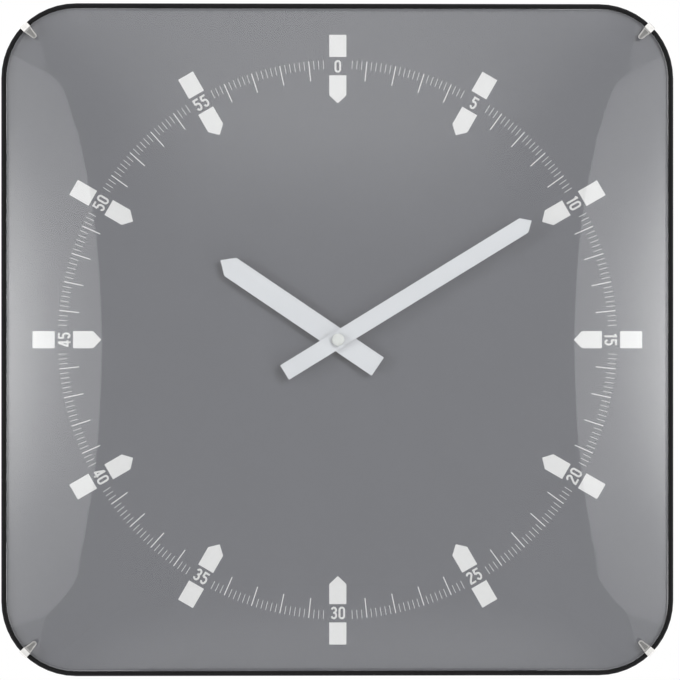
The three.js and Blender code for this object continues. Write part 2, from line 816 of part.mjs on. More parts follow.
function settingKnob() {
  const grip = Array.from({ length: knobTeeth * 2 }, (_, step) => {
    const angle = (step * Math.PI) / knobTeeth;
    const radius = knobRadius - (step % 2) * knobToothDepth;
    return [radius * Math.cos(angle), radius * Math.sin(angle)];
  });
  return joined(
    gear(settingTeeth, cannonModule, settingPhase, minuteLayer, pinionThickness),
    bar(pivotRadius, plateInner - pivotEnd, minuteLayer, handsAxis, smallSteps),
    bar(settingShaftRadius, minuteLayer, knobFront + knobThickness / 2),
    plate(grip, knobFront, knobBack),
  );
}

// Movement case

const gearSpaceBottom = bayTop + movementWall;
const boardLeft = -innerHalf + looseGap;
const boardBottom = gearSpaceBottom + looseGap;
const boardTop = innerHalf - looseGap;
const boardBack = coverInner - boardLift;
const boardFront = boardBack - boardThickness;
const boardMiddle = boardLeft + boardWidth / 2;
const boardPostAxes = [boardBottom + boardPostInset, boardTop - boardPostInset].map((z) => ({
  x: boardMiddle,
  z,
}));

const bridgeHalf = innerHalf - bridgeMargin;
const bridgeBottom = gearSpaceBottom + looseGap;
const bridgeTop = innerHalf - looseGap;
const postInset = postRadius + looseGap;
const postAxes = [bridgeHalf - postInset, postInset - bridgeHalf].flatMap((x) => [
  { x, z: bridgeBottom + postInset },
  { x, z: bridgeTop - postInset },
]);

function movementFrontCase() {
  const shell = plate(roundedSquare(movementHalf, movementRadius), movementFront, bridgeBack);
  const openBack = bridgeBack + past;
  const gearSpace = block(-innerHalf, innerHalf, plateInner, openBack, gearSpaceBottom, innerHalf);
  const bay = block(-innerHalf, innerHalf, plateInner, openBack, bayBottom, bayTop);
  const plateMiddle = plateInner - movementWall / 2;
  const bush = bar(bushRadius, bushFront, plateMiddle);
  const posts = postAxes.map((axis) =>
    joined(
      bar(postRadius, plateMiddle, bridgeFront - seatGap, axis, smallSteps),
      bar(pegRadius, plateMiddle, bridgeBack - seatGap, axis, smallSteps),
    ),
  );
  return cut(
    joined(cut(shell, gearSpace, bay), bush, ...posts),
    hole(hourPipeRadius + runningGap, bushFront - past, plateInner + past),
    ...[minuteWheelAxis, thirdAxis, settingAxis].map((axis) =>
      pivotHole(axis, plateInner - pivotDepth, plateInner + past),
    ),
  );
}

function bridgePlate() {
  const sheet = block(-bridgeHalf, bridgeHalf, bridgeFront, bridgeBack, bridgeBottom, bridgeTop);
  const postBack = rotorLayer - statorThickness / 2 - seatGap;
  const sheetMiddle = bridgeFront + bridgeThickness / 2;
  const statorPosts = statorPostAxes.map((axis) => bar(postRadius, sheetMiddle, postBack, axis, smallSteps));
  const front = bridgeFront - past;
  const back = bridgeBack + past;
  return cut(
    joined(sheet, ...statorPosts),
    ...postAxes.map((axis) => hole(pegRadius + runningGap, front, back, axis, smallSteps)),
    ...[minuteWheelAxis, thirdAxis, stepAxis, rotorAxis].map((axis) => pivotHole(axis, front, back)),
    hole(arborRadius + looseGap, front, back, handsAxis, smallSteps),
    hole(settingShaftRadius + runningGap, front, back, settingAxis),
  );
}

// A latch on the right of the rear cover that grips the side of the front case.
function coverLatch(middle) {
  const outside = movementHalf + latchThickness;
  const wall = movementHalf - movementWall / 2;
  const armLeft = movementHalf + seatGap;
  const armFront = coverFront - latchReach;
  const root = band(wall, outside, coverFront, coverFront + latchReach, middle, latchWidth);
  const arm = band(armLeft, outside, armFront, coverFront + seatGap, middle, latchWidth);
  return joined(root, arm);
}

function movementRearCover() {
  const shell = plate(roundedSquare(movementHalf, movementRadius), coverFront, movementBack);
  const openFront = coverFront - past;
  const gearSpace = block(-innerHalf, innerHalf, openFront, coverInner, gearSpaceBottom, innerHalf);
  const bay = block(-innerHalf, innerHalf, openFront, movementBack + past, bayBottom, bayTop);
  const coverMiddle = coverInner + movementWall / 2;
  const bossAxes = [handsAxis, stepAxis, rotorAxis];
  const bosses = bossAxes.map((axis) => bar(bossRadius, bossFront, coverMiddle, axis, smallSteps));
  const boardPosts = boardPostAxes.map((axis) =>
    bar(pegRadius, boardBack + seatGap, coverMiddle, axis, smallSteps),
  );
  const rightLatches = [-latchSpacing / 2, latchSpacing / 2].map(coverLatch);
  const leftLatches = rightLatches.map((latch) => latch.mirror([1, 0, 0]));
  return cut(
    joined(cut(shell, gearSpace, bay), ...bosses, ...boardPosts, ...rightLatches, ...leftLatches),
    ...bossAxes.map((axis) => pivotHole(axis, bossFront - past, bossFront + pivotDepth)),
    hole(settingShaftRadius + runningGap, coverInner - past, movementBack + past, settingAxis),
  );
}

// Fastening through the dial

const bushHole = (front, back) => hole(bushRadius + seatGap, front - past, back + past);
const nutAcrossFlats = 2 * (bushRadius + nutMargin);
const nutWasherBack = dialFace - seatGap;
const nutWasherFront = nutWasherBack - nutWasherThickness;
const nutBack = nutWasherFront - seatGap;
const nutFront = nutBack - nutThickness;

function rubberWasher() {
  const back = washerFront + washerThickness;
  return cut(bar(bushRadius + washerMargin, washerFront, back), bushHole(washerFront, back));
}

function nutWasher() {
  return cut(bar(nutAcrossFlats / 2, nutWasherFront, nutWasherBack), bushHole(nutWasherFront, nutWasherBack));
}

function hexNut() {
  const cornerReach = nutAcrossFlats / 2 / Math.cos(Math.PI / 6);
  return cut(bar(cornerReach, nutFront, nutBack, handsAxis, 6), bushHole(nutFront, nutBack));
}

// Motor

const cheekDepth = 2 * (coverInner - rotorLayer - looseGap);
const coreHeight = innerHalf - looseGap - cheekDepth / 2;
const statorRight = statorLeft + statorWidth;
const statorTop = coreHeight + coreWidth / 2;
const statorBottom = stepAxis.z + arborRadius + looseGap;
const statorSill = rotorAxis.z + statorBrow;
const statorPostAxes = [statorLeft, statorRight - statorSideWidth].map((left) => ({
  x: left + statorSideWidth / 2,
  z: statorSill,
}));
const coilLeft = statorLeft + statorSideWidth + looseGap;
const coilRight = statorRight - statorSideWidth - looseGap;
const coilTubeRadius = Math.hypot(coreWidth, statorThickness) / 2 + runningGap + coilTubeWall;

function motorStator() {
  const front = rotorLayer - statorThickness / 2;
  const back = rotorLayer + statorThickness / 2;
  const sheet = block(statorLeft, statorRight, front, back, statorBottom, statorTop);
  const left = statorLeft + statorSideWidth;
  const right = statorRight - statorSideWidth;
  const coilWindow = block(left, right, front - past, back + past, statorSill, coreHeight - coreWidth / 2);
  const rotorHole = hole(magnetRadius + magnetGap, front - past, back + past, rotorAxis);
  return cut(sheet, coilWindow, rotorHole);
}

function coilBobbin() {
  const front = rotorLayer - cheekDepth / 2;
  const back = rotorLayer + cheekDepth / 2;
  const cheekAt = (left) => band(left, left + cheekWidth, front, back, coreHeight, cheekDepth);
  const slotHalf = statorThickness / 2 + runningGap;
  const slotHeight = coreWidth + 2 * runningGap;
  const slotLeft = coilLeft - past;
  const slotRight = coilRight + past;
  return cut(
    joined(
      crossBar(coilTubeRadius, coilLeft, coilRight, rotorLayer, coreHeight),
      cheekAt(coilLeft),
      cheekAt(coilRight - cheekWidth),
    ),
    band(slotLeft, slotRight, rotorLayer - slotHalf, rotorLayer + slotHalf, coreHeight, slotHeight),
  );
}

function coilWinding() {
  const left = coilLeft + cheekWidth + seatGap;
  const right = coilRight - cheekWidth - seatGap;
  const inside = (coilTubeRadius + seatGap) / Math.cos(Math.PI / smallSteps);
  return cut(
    crossBar(cheekDepth / 2 - windingMargin, left, right, rotorLayer, coreHeight),
    crossBar(inside, left - past, right + past, rotorLayer, coreHeight),
  );
}

// Circuit, on the rear cover at the left

const chipAxis = { x: boardMiddle, z: (boardBottom + boardTop) / 2 };

function circuitBoard() {
  return block(boardLeft, boardLeft + boardWidth, boardFront, boardBack, boardBottom, boardTop);
}

function chipBlob() {
  const back = boardFront - seatGap;
  const domed = Array.from({ length: bevelSteps + 1 }, (_, step) => {
    const angle = (step / bevelSteps) * (Math.PI / 2);
    return [chipRadius * Math.sin(angle), back - chipHeight * Math.cos(angle)];
  });
  return turned([...domed, [0, back]], smallSteps);
}

function quartzCrystal() {
  const depth = boardFront - seatGap - crystalRadius;
  const left = boardMiddle - crystalLength / 2;
  return crossBar(crystalRadius, left, left + crystalLength, depth, chipAxis.z + crystalLift);
}

// Battery and contacts

function battery() {
  const profile = [
    [0, batteryLeft],
    [batteryRadius - batteryChamfer, batteryLeft],
    [batteryRadius, batteryLeft + batteryChamfer],
    [batteryRadius, batteryRight - batteryChamfer],
    [batteryRadius - batteryChamfer, batteryRight],
    [nubRadius, batteryRight],
    [nubRadius, batteryRight + nubLength],
    [0, batteryRight + nubLength],
  ];
  const geometry = new THREE.LatheGeometry(points2d(profile), roundSteps);
  geometry.rotateZ(-Math.PI / 2);
  geometry.translate(0, batteryDepth, batteryHeight);
  return solidOf(geometry);
}

const contactFront = batteryDepth - contactDepth / 2;
const contactBack = batteryDepth + contactDepth / 2;

function plusContact() {
  const right = innerHalf - seatGap;
  return band(right - contactThickness, right, contactFront, contactBack, batteryHeight, contactHeight);
}

// The minus contact is a leaf that bows towards the battery.
function minusContact() {
  const wall = -innerHalf + seatGap;
  const foot = wall + contactThickness;
  const outline = [
    [wall, batteryHeight - contactHeight / 2],
    [foot, batteryHeight - contactHeight / 2],
    [foot + leafBow, batteryHeight],
    [foot, batteryHeight + contactHeight / 2],
    [wall, batteryHeight + contactHeight / 2],
    [wall + leafBow, batteryHeight],
  ];
  return plate(outline, contactFront, contactBack);
}

// Finishes

function finish(color, roughness, metalness = 0) {
  return new THREE.MeshStandardMaterial({ color, roughness, metalness });
}

const blackPlastic = finish(0x1b1b1c, 0.45);
const blackRubber = finish(0x141414, 0.8);
const clearGlass = finish(0xe8eeee, 0.03);
clearGlass.transparent = true;
clearGlass.opacity = 0.3;
const greyPaint = finish(0x7d7d85, 0.5);
const whitePaint = finish(0xdadbdf, 0.5);
const nickel = finish(0xc9c8c4, 0.25, 1);
const zincSteel = finish(0xb9bbbd, 0.35, 1);
const brass = finish(0xc8a458, 0.35, 1);
const whitePlastic = finish(0xececea, 0.5);
const ivoryPlastic = finish(0xe4dfcf, 0.5);
const redPlastic = finish(0xa8362c, 0.5);
const darkSteel = finish(0x6a6c70, 0.4, 1);
const copper = finish(0xb4632e, 0.4, 1);
const greenBoard = finish(0x1f6b3c, 0.5);
const blackEpoxy = finish(0x101012, 0.35);
const batterySleeve = finish(0x2f4f7a, 0.35, 0.3);

// Assembly. The inner group has the hands' axis as its own.

const works = new THREE.Group();
works.position.z = -nailHeight;

function addPiece(name, solid, material, axis = handsAxis) {
  const mesh = new THREE.Mesh(geometryOf(solid), material);
  mesh.name = name;
  mesh.position.set(axis.x, 0, axis.z);
  works.add(mesh);
  return mesh;
}

addPiece("case_tray", caseTray(), blackPlastic);
addPiece("edge_gasket", edgeGasket(), blackRubber);
addPiece("dial_plate", dialPlate(), greyPaint);
addPiece("glass_dome", glassDome(), clearGlass);

["top_right", "top_left", "bottom_left", "bottom_right"].forEach((corner, index) => {
  const angle = cornerAngles[index];
  addPiece(`glass_clip_${corner}`, glassClip(), nickel).rotation.y = -angle;
  addPiece(`clip_screw_${corner}`, clipScrew(), zincSteel, screwAxis(angle)).rotation.y = -angle;
});

addPiece("hour_hand", hourHand(), whitePaint).rotation.y = hourHandAngle;
addPiece("minute_hand", minuteHand(), whitePaint).rotation.y = minuteHandAngle;
addPiece("hand_cap", handCap(), whitePlastic);

addPiece("rubber_washer", rubberWasher(), blackRubber);
addPiece("nut_washer", nutWasher(), brass);
addPiece("hex_nut", hexNut(), brass);
addPiece("movement_front_case", movementFrontCase(), blackPlastic);
addPiece("movement_rear_cover", movementRearCover(), blackPlastic);
addPiece("bridge_plate", bridgePlate(), ivoryPlastic);

addPiece("hour_wheel", hourWheel(), ivoryPlastic);
addPiece("minute_arbor", minuteArbor(), brass);
addPiece("clutch_spring", clutchSpring(), zincSteel);
addPiece("minute_wheel", minuteWheel(), ivoryPlastic, minuteWheelAxis);
addPiece("setting_knob", settingKnob(), whitePlastic, settingAxis);
addPiece("centre_wheel", centreWheel(), ivoryPlastic);
addPiece("third_wheel", thirdWheel(), ivoryPlastic, thirdAxis);
addPiece("second_wheel", secondWheel(), ivoryPlastic);
addPiece("step_wheel", stepWheel(), redPlastic, stepAxis);
addPiece("motor_rotor", motorRotor(), darkSteel, rotorAxis);

addPiece("motor_stator", motorStator(), darkSteel);
addPiece("coil_bobbin", coilBobbin(), whitePlastic);
addPiece("coil_winding", coilWinding(), copper);
addPiece("circuit_board", circuitBoard(), greenBoard);
addPiece("chip_blob", chipBlob(), blackEpoxy, chipAxis);
addPiece("quartz_crystal", quartzCrystal(), zincSteel);

addPiece("battery", battery(), batterySleeve);
addPiece("plus_contact", plusContact(), nickel);
addPiece("minus_contact", minusContact(), nickel);

const clock = new THREE.Group();
clock.add(works);

export default clock;
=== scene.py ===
# A square wall clock with a domed glass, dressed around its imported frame. Metres, X right, Z up, front to
# -Y. The origin is the seat of the nail in the wall, and the wall is the plane y = 0.
import math

import bmesh
import bpy
from bpy.props import FloatProperty, FloatVectorProperty, PointerProperty
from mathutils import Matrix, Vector


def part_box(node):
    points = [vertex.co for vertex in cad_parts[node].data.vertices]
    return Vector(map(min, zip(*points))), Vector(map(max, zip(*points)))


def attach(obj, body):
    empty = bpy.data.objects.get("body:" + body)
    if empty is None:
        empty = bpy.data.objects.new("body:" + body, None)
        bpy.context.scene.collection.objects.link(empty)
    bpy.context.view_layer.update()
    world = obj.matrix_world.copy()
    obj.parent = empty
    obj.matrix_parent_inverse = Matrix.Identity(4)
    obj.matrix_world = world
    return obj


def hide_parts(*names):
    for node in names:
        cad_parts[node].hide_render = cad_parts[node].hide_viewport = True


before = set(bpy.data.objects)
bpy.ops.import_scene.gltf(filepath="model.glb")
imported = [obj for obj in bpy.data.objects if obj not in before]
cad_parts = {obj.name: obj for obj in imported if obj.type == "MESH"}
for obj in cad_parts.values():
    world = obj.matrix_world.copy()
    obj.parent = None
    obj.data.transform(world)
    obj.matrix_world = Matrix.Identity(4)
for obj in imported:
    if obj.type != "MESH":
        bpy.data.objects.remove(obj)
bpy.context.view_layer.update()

bl_info = {
    "name": "Square wall clock",
    "version": (1, 0, 0),
    "blender": (4, 5, 0),
    "location": "View3D > Sidebar > Wall clock",
    "description": "Builds the pieces of a square wall clock around its frame, and a stage to show it on",
    "category": "Object",
}

MM = 0.001
TINY = 1e-5
SEAM = TINY / 2  # vertices closer together than this are one
FACING = 0.9  # a face looks along an axis where its normal has at least this share along it
FRONT = -1
BACK = 1
X_AXIS = 0
Y_AXIS = 1
FACE_ON = (math.pi / 2, 0, 0)  # turns what is drawn in X and Y to face the viewer
SMOOTH_ANGLE = math.radians(35)
CORNERS = {"top_right": 45, "top_left": 135, "bottom_left": 225, "bottom_right": 315}  # degrees
HOURS = 12
HOUR_DEGREES = 30
MINUTE_DEGREES = 6

# Places that the frame gives


def half_width(node):
    """Half the width of a node of the frame."""
    low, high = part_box(node)
    return (high.x - low.x) / 2


tray_low, tray_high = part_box("case_tray")
gasket_low, gasket_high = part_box("edge_gasket")
dial_low, dial_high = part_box("dial_plate")
hour_low, hour_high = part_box("hour_hand")
minute_low, minute_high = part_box("minute_hand")
cap_low, cap_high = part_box("hand_cap")
battery_low, battery_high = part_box("battery")
hands_axis = Vector((0, 0, (tray_low.z + tray_high.z) / 2))
case_half = half_width("case_tray")
glass_half = half_width("glass_dome")
glass_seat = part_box("glass_dome")[1].y
dial_half = half_width("dial_plate")
dial_thickness = 0.0008
ink_height = dial_high.y - dial_low.y - dial_thickness
cap_radius = half_width("hand_cap")


def length(name, description, default):
    """A length that the user can set."""
    return FloatProperty(name=name, description=description, default=default, unit="LENGTH", precision=5)


def colour(name, description, default):
    """A colour that the user can set."""
    return FloatVectorProperty(
        name=name, description=description, default=default, subtype="COLOR", size=3, min=0, max=1
    )


class ClockSizes(bpy.types.PropertyGroup):
    """Sizes of the clock, in metres"""

    case_half: length("Case half width", "From the middle of the case to its side", case_half)
    corner_radius: length("Corner radius", "Radius of the corners of the case", 0.039)
    lip_width: length("Lip width", "Wall of the case round the glass", 0.0015)
    flange_width: length("Flange width", "Flat back of the rim that the clips grip", 0.0139)
    flange_back: length("Flange back", "Depth of the back of the flange", -0.01953)
    flange_front: length("Flange front", "Depth of the seat of the dial", -0.02303)
    side_slope: length("Side slope", "How far the pan draws in from the flange to the wall", 0.012)
    pan_wall: length("Pan wall", "Thickness of the pan", 0.0025)
    window_half: length("Window half width", "Opening behind the movement", 0.03395)
    window_radius: length("Window radius", "Corners of that opening", 0.006)
    collar_wall: length("Collar wall", "Wall round the opening", 0.002)
    collar_front: length("Collar front", "Depth of the front of that wall", -0.012)
    rib_thickness: length("Rib thickness", "Thickness of the ribs inside the pan", 0.0016)
    rib_height: length("Rib height", "Height of the ribs over the floor of the pan", 0.007)
    nail_neck: length("Nail neck radius", "Radius of the narrow part of the hanging slot", 0.0025)
    nail_entry: length("Nail entry radius", "Radius of the wide part of the hanging slot", 0.0046)
    nail_drop: length("Nail drop", "From the seat of the nail down to the wide part", 0.009)
    gasket_width: length("Gasket width", "Wall of the rubber ring round the glass", 0.001)
    glass_half: length("Glass half width", "From the middle of the glass to its side", glass_half)
    glass_seat: length("Glass seat", "Depth of the back of the glass at its edge", glass_seat)
    glass_thickness: length("Glass thickness", "Thickness of the glass at its edge", 0.003)
    glass_rise: length("Glass rise", "How far the dome stands over the edge", 0.02)
    glass_power: FloatProperty(
        name="Dome power", description="Two is a plain bulge, and more is flatter in the middle", default=3.5
    )
    dial_half: length("Dial half width", "From the middle of the dial to its side", dial_half)
    dial_back: length("Dial back", "Depth of the back of the dial", dial_high.y)
    dial_thickness: length("Dial thickness", "Thickness of the dial", dial_thickness)
    bush_radius: length("Bush radius", "Radius of the threaded bush through the dial", 0.00393)
    ink_height: length("Ink height", "How far the print stands over the dial", ink_height)
    mark_width: length("Mark width", "Width of the printed marks", 0.00895)
    mark_outer: length("Mark outer radius", "Outer end of the blocks", 0.1586)
    mark_inner: length("Mark inner radius", "Inner end of the blocks", 0.1471)
    arrow_base: length("Arrow base radius", "Outer end of the arrows", 0.1376)
    arrow_shoulder: length("Arrow shoulder radius", "Where the arrows start to narrow", 0.1272)
    arrow_tip: length("Arrow tip radius", "Inner end of the arrows", 0.123)
    numeral_height: length("Numeral height", "Height of the printed numbers", 0.0066)
    numeral_radius: length("Numeral radius", "Middle of the dial to the middle of the numbers", 0.1422)
    stroke_width: length("Stroke width", "Width of the strokes of the numbers", 0.00105)
    tick_outer: length("Tick outer radius", "Outer end of the minute track", 0.1455)
    long_tick: length("Long tick", "Length of the minute ticks", 0.0103)
    short_tick: length("Short tick", "Length of the ticks between them", 0.0045)
    long_tick_width: length("Long tick width", "Width of the minute ticks", 0.0005)
    short_tick_width: length("Short tick width", "Width of the ticks between them", 0.00026)
    hand_thickness: length("Hand thickness", "Thickness of both hands", 0.0005)
    minute_width: length("Minute hand width", "Width of the minute hand", 0.0088)
    minute_length: length("Minute hand length", "From the axis to the tip", 0.118)
    minute_point: length("Minute hand point", "Length of the pointed end", 0.0047)
    minute_tail: length("Minute hand tail", "From the axis to the square end", 0.0326)
    hour_width: length("Hour hand width", "Width of the hour hand", 0.0114)
    hour_length: length("Hour hand length", "From the axis to the tip", 0.0737)
    hour_point: length("Hour hand point", "Length of the pointed end", 0.0062)
    hour_tail: length("Hour hand tail", "From the axis to the square end", 0.025)
    arbor_bore: length("Arbor bore", "Radius of the bore of the minute hand and its cap", 0.00145)
    cap_radius: length("Cap radius", "Radius of the cap over the hands", cap_radius)
    clip_thickness: length("Clip thickness", "Thickness of the sheet of the clips", 0.0005)
    clip_width: length("Clip width", "Width of the clips", 0.0046)
    clip_tip_width: length("Clip tip width", "Width of the round end on the glass", 0.0024)
    clip_reach: length("Clip reach", "How far the clips lie over the glass", 0.007)
    screw_inset: length("Screw inset", "From the corner of the case to the screw", 0.0075)
    screw_head: length("Screw head radius", "Radius of the heads of the screws", 0.0024)
    screw_hole: length("Screw hole radius", "Radius of the screws' holes in rim and clips", 0.00128)


class ClockFinishes(bpy.types.PropertyGroup):
    """Colours of the clock's finishes"""

    case: colour("Case", "Moulded black plastic", (0.009, 0.009, 0.01))
    rubber: colour("Rubber", "Black rubber", (0.008, 0.008, 0.008))
    dial: colour("Dial", "Satin grey paint", (0.109, 0.11, 0.1235))
    ink: colour("Ink", "White print on the dial", (0.65, 0.641, 0.641))
    hands: colour("Hands", "Satin white paint", (0.592, 0.598, 0.621))
    cap: colour("Cap", "Moulded white plastic", (0.59, 0.6, 0.58))
    nickel: colour("Nickel", "Nickel plate", (0.36, 0.355, 0.345))
    # Painted shade: the sunk panels of the clips take a darker nickel that stands in for their shade.
    painted_shade_nickel: colour("Dull nickel", "Nickel plate in the sunk panels of the clips", (0.21, 0.208, 0.203))
    # Painted highlight: the bends of the clips take a much lighter nickel that stands in for their gleam.
    bend_nickel: colour("Bend nickel", "Nickel plate rubbed bright in the bends", (0.8, 0.79, 0.77))
    zinc: colour("Zinc", "Zinc plated steel", (0.5, 0.51, 0.52))
    brass: colour("Brass", "Turned brass", (0.58, 0.38, 0.12))
    ivory: colour("Ivory", "Natural moulded plastic", (0.76, 0.72, 0.6))
    red: colour("Red", "Red moulded plastic", (0.4, 0.04, 0.03))
    magnet: colour("Magnet steel", "Bare magnet steel", (0.15, 0.155, 0.165))
    copper: colour("Copper", "Enamelled copper wire", (0.45, 0.13, 0.04))
    board: colour("Board", "Green lacquered board", (0.015, 0.15, 0.05))
    resin: colour("Resin", "Cured black resin", (0.006, 0.006, 0.007))
    sleeve: colour("Sleeve", "Shrink sleeve of the battery", (0.03, 0.08, 0.2))
    sleeve_band: colour("Sleeve band", "Band at the plus end of the battery", (0.55, 0.56, 0.58))
    floor: colour("Floor", "Pale floor", (0.8, 0.8, 0.8))


# Selecting and editing


def make_active(piece):
    """Selects one object alone, in object mode."""
    if bpy.context.object and bpy.context.object.mode != "OBJECT":
        close_edit()
    bpy.ops.object.select_all(action="DESELECT")
    piece.select_set(True)
    bpy.context.view_layer.objects.active = piece


def add_object(data):
    """Puts new data in the scene as an object, and selects it alone."""
    piece = bpy.data.objects.new("draft", data)
    bpy.context.collection.objects.link(piece)
    make_active(piece)
    return piece


def copy_piece(piece):
    """Copies a piece with a mesh of its own."""
    return add_object(piece.data.copy())


def settle(piece):
    """Puts the place, turn and scale of an object in its mesh."""
    make_active(piece)
    bpy.ops.object.transform_apply(location=True, rotation=True, scale=True)
    return piece


def edit(piece, kind="FACE"):
    """Opens an object in edit mode, with nothing selected."""
    make_active(piece)
    bpy.ops.object.mode_set(mode="EDIT")
    bpy.ops.mesh.select_mode(type=kind)
    bpy.ops.mesh.select_all(action="DESELECT")


def close_edit():
    """Goes back to object mode."""
    bpy.ops.object.mode_set(mode="OBJECT")


def pick_all():
    """Selects the whole mesh in edit mode."""
    bpy.ops.mesh.select_all(action="SELECT")


def pick(piece, test, kind="faces"):
    """Selects the faces, edges or vertices of the object in edit mode that pass the test, and no others."""
    bpy.ops.mesh.select_all(action="DESELECT")
    cage = bmesh.from_edit_mesh(piece.data)
    chosen = [element for element in getattr(cage, kind) if test(element)]
    if not chosen:
        raise RuntimeError(f"nothing on {piece.name} passes the test")
    for element in chosen:
        element.select_set(True)
    cage.select_flush_mode()
    bmesh.update_edit_mesh(piece.data)


def faces_at(side, depth):
    """Tests for faces at a depth that look to the front or to the back."""
    return lambda face: face.normal.y * side > FACING and abs(face.calc_center_median().y - depth) < TINY


def edges_at(axis, place):
    """Tests for edges that lie at a place along an axis."""
    return lambda edge: all(abs(vertex.co[axis] - place) < TINY for vertex in edge.verts)


def inset(width, depth=0):
    """Insets the selected faces, and raises what is inside by a depth."""
    bpy.ops.mesh.inset(thickness=width, depth=depth)


def extrude(across=0, back=0, up=0):
    """Extrudes the selection along X, Y and Z."""
    bpy.ops.mesh.extrude_region_move(TRANSFORM_OT_translate={"value": (across, back, up)})


def assign(piece, material_index):
    """Gives the selected faces one of the piece's materials."""
    piece.active_material_index = material_index
    bpy.ops.object.material_slot_assign()


def merge_seams(piece):
    """Makes one vertex of those that lie on one another."""
    edit(piece)
    pick_all()
    bpy.ops.mesh.remove_doubles(threshold=SEAM)
    close_edit()


def mend_normals(piece):
    """Points the faces of a piece outwards."""
    edit(piece)
    pick_all()
    bpy.ops.mesh.normals_make_consistent(inside=False)
    close_edit()


def add_modifier(piece, kind, **settings):
    """Adds a modifier and applies it."""
    make_active(piece)
    bpy.ops.object.modifier_add(type=kind)
    modifier = piece.modifiers[-1]
    for key, value in settings.items():
        setattr(modifier, key, value)
    bpy.ops.object.modifier_apply(modifier=modifier.name)


def combine(piece, tools, operation):
    """Joins tools to a piece or cuts them away, one after the other, and removes them."""
    for tool in tools:
        add_modifier(piece, "BOOLEAN", object=tool, operation=operation, solver="EXACT")
        bpy.data.objects.remove(tool)


def soften(piece, width, segments=2, degrees=30):
    """Rounds the edges of a piece that are sharper than an angle."""
    limit = math.radians(degrees)
    add_modifier(piece, "BEVEL", width=width, segments=segments, limit_method="ANGLE", angle_limit=limit)


def join(pieces):
    """Makes one object of several."""
    make_active(pieces[0])
    for piece in pieces:
        piece.select_set(True)
    bpy.ops.object.join()
    return pieces[0]


def turn_to(piece, angle, place=hands_axis):
    """Turns a piece that was drawn round the origin clockwise by an angle, and moves it to its axis."""
    piece.rotation_euler = (0, angle, 0)
    piece.location = place
    return settle(piece)


def coat(piece, *materials):
    """Gives a piece its materials in place of any that it has."""
    piece.data.materials.clear()
    for material in materials:
        piece.data.materials.append(material)


def finish_piece(piece, name, material, body, slot, replaced=(), flat=False):
    """Names a piece, shades it, gives it its finish and hangs it on its body."""
    settle(piece)
    piece.name = name
    piece.data.name = name
    if not flat:
        bpy.ops.object.shade_smooth_by_angle(angle=SMOOTH_ANGLE)
        add_modifier(piece, "WEIGHTED_NORMAL", keep_sharp=True)
    if material:
        coat(piece, material)
    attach(piece, body)
    if replaced:
        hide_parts(*replaced)


# Starting shapes


def add_block(low, high):
    """A block between two corners."""
    low, high = Vector(low), Vector(high)
    bpy.ops.mesh.primitive_cube_add(size=1, location=(low + high) / 2)
    piece = bpy.context.object
    piece.scale = high - low
    return settle(piece)


def add_cylinder(radius, depth, place, turn, steps):
    """A round bar at a place, along Z before its turn."""
    bpy.ops.mesh.primitive_cylinder_add(
        vertices=steps, radius=radius, depth=depth, location=place, rotation=turn
    )
    return settle(bpy.context.object)


def add_bar(radius, front, back, axis=(0, 0, 0), steps=48):
    """A round bar along Y."""
    return add_cylinder(radius, back - front, (axis[0], (front + back) / 2, axis[2]), FACE_ON, steps)


def add_slab(half, radius, front, back, side_cuts=0):
    """A square slab with round corners about the hands' axis, facing the viewer."""
    corner_steps = 12
    place = (hands_axis.x, back, hands_axis.z)
    bpy.ops.mesh.primitive_plane_add(size=2 * half, location=place, rotation=FACE_ON)
    piece = settle(bpy.context.object)
    edit(piece, "VERT")
    pick_all()
    bpy.ops.mesh.bevel(affect="VERTICES", offset=radius, segments=corner_steps)
    if side_cuts:
        bpy.ops.mesh.select_mode(type="EDGE")
        pick(piece, lambda edge: edge.calc_length() > radius, "edges")
        bpy.ops.mesh.subdivide(number_cuts=side_cuts)
    bpy.ops.mesh.select_mode(type="FACE")
    pick_all()
    extrude(back=front - back)
    close_edit()
    mend_normals(piece)
    return piece


def open_through(piece, wall):
    """Opens a slab or a bar from front to back, and leaves a wall round the opening."""
    edit(piece)
    pick(piece, lambda face: abs(face.normal.y) > FACING)
    inset(wall)
    bpy.ops.mesh.bridge_edge_loops()
    close_edit()
    mend_normals(piece)


def dressed_copy(node, width):
    """A copy of a node's solid with its faces merged and its edges rounded."""
    piece = copy_piece(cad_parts[node])
    bpy.ops.mesh.customdata_custom_splitnormals_clear()
    edit(piece, "VERT")
    pick_all()
    bpy.ops.mesh.remove_doubles(threshold=SEAM)
    bpy.ops.mesh.dissolve_limited(angle_limit=math.radians(1))
    close_edit()
    soften(piece, width)
    return piece


# Case


def corner_reach(half, radius):
    """From the middle of a square with round corners to the middle of a corner."""
    return (half - radius) * math.sqrt(2) + radius


def screw_reach(sizes):
    """From the hands' axis to the screw in each corner."""
    return corner_reach(sizes.case_half, sizes.corner_radius) - sizes.screw_inset


def corner_place(reach, degrees):
    """The place at a reach from the hands' axis, at an angle from the right."""
    angle = math.radians(degrees)
    return hands_axis + reach * Vector((math.cos(angle), 0, math.sin(angle)))


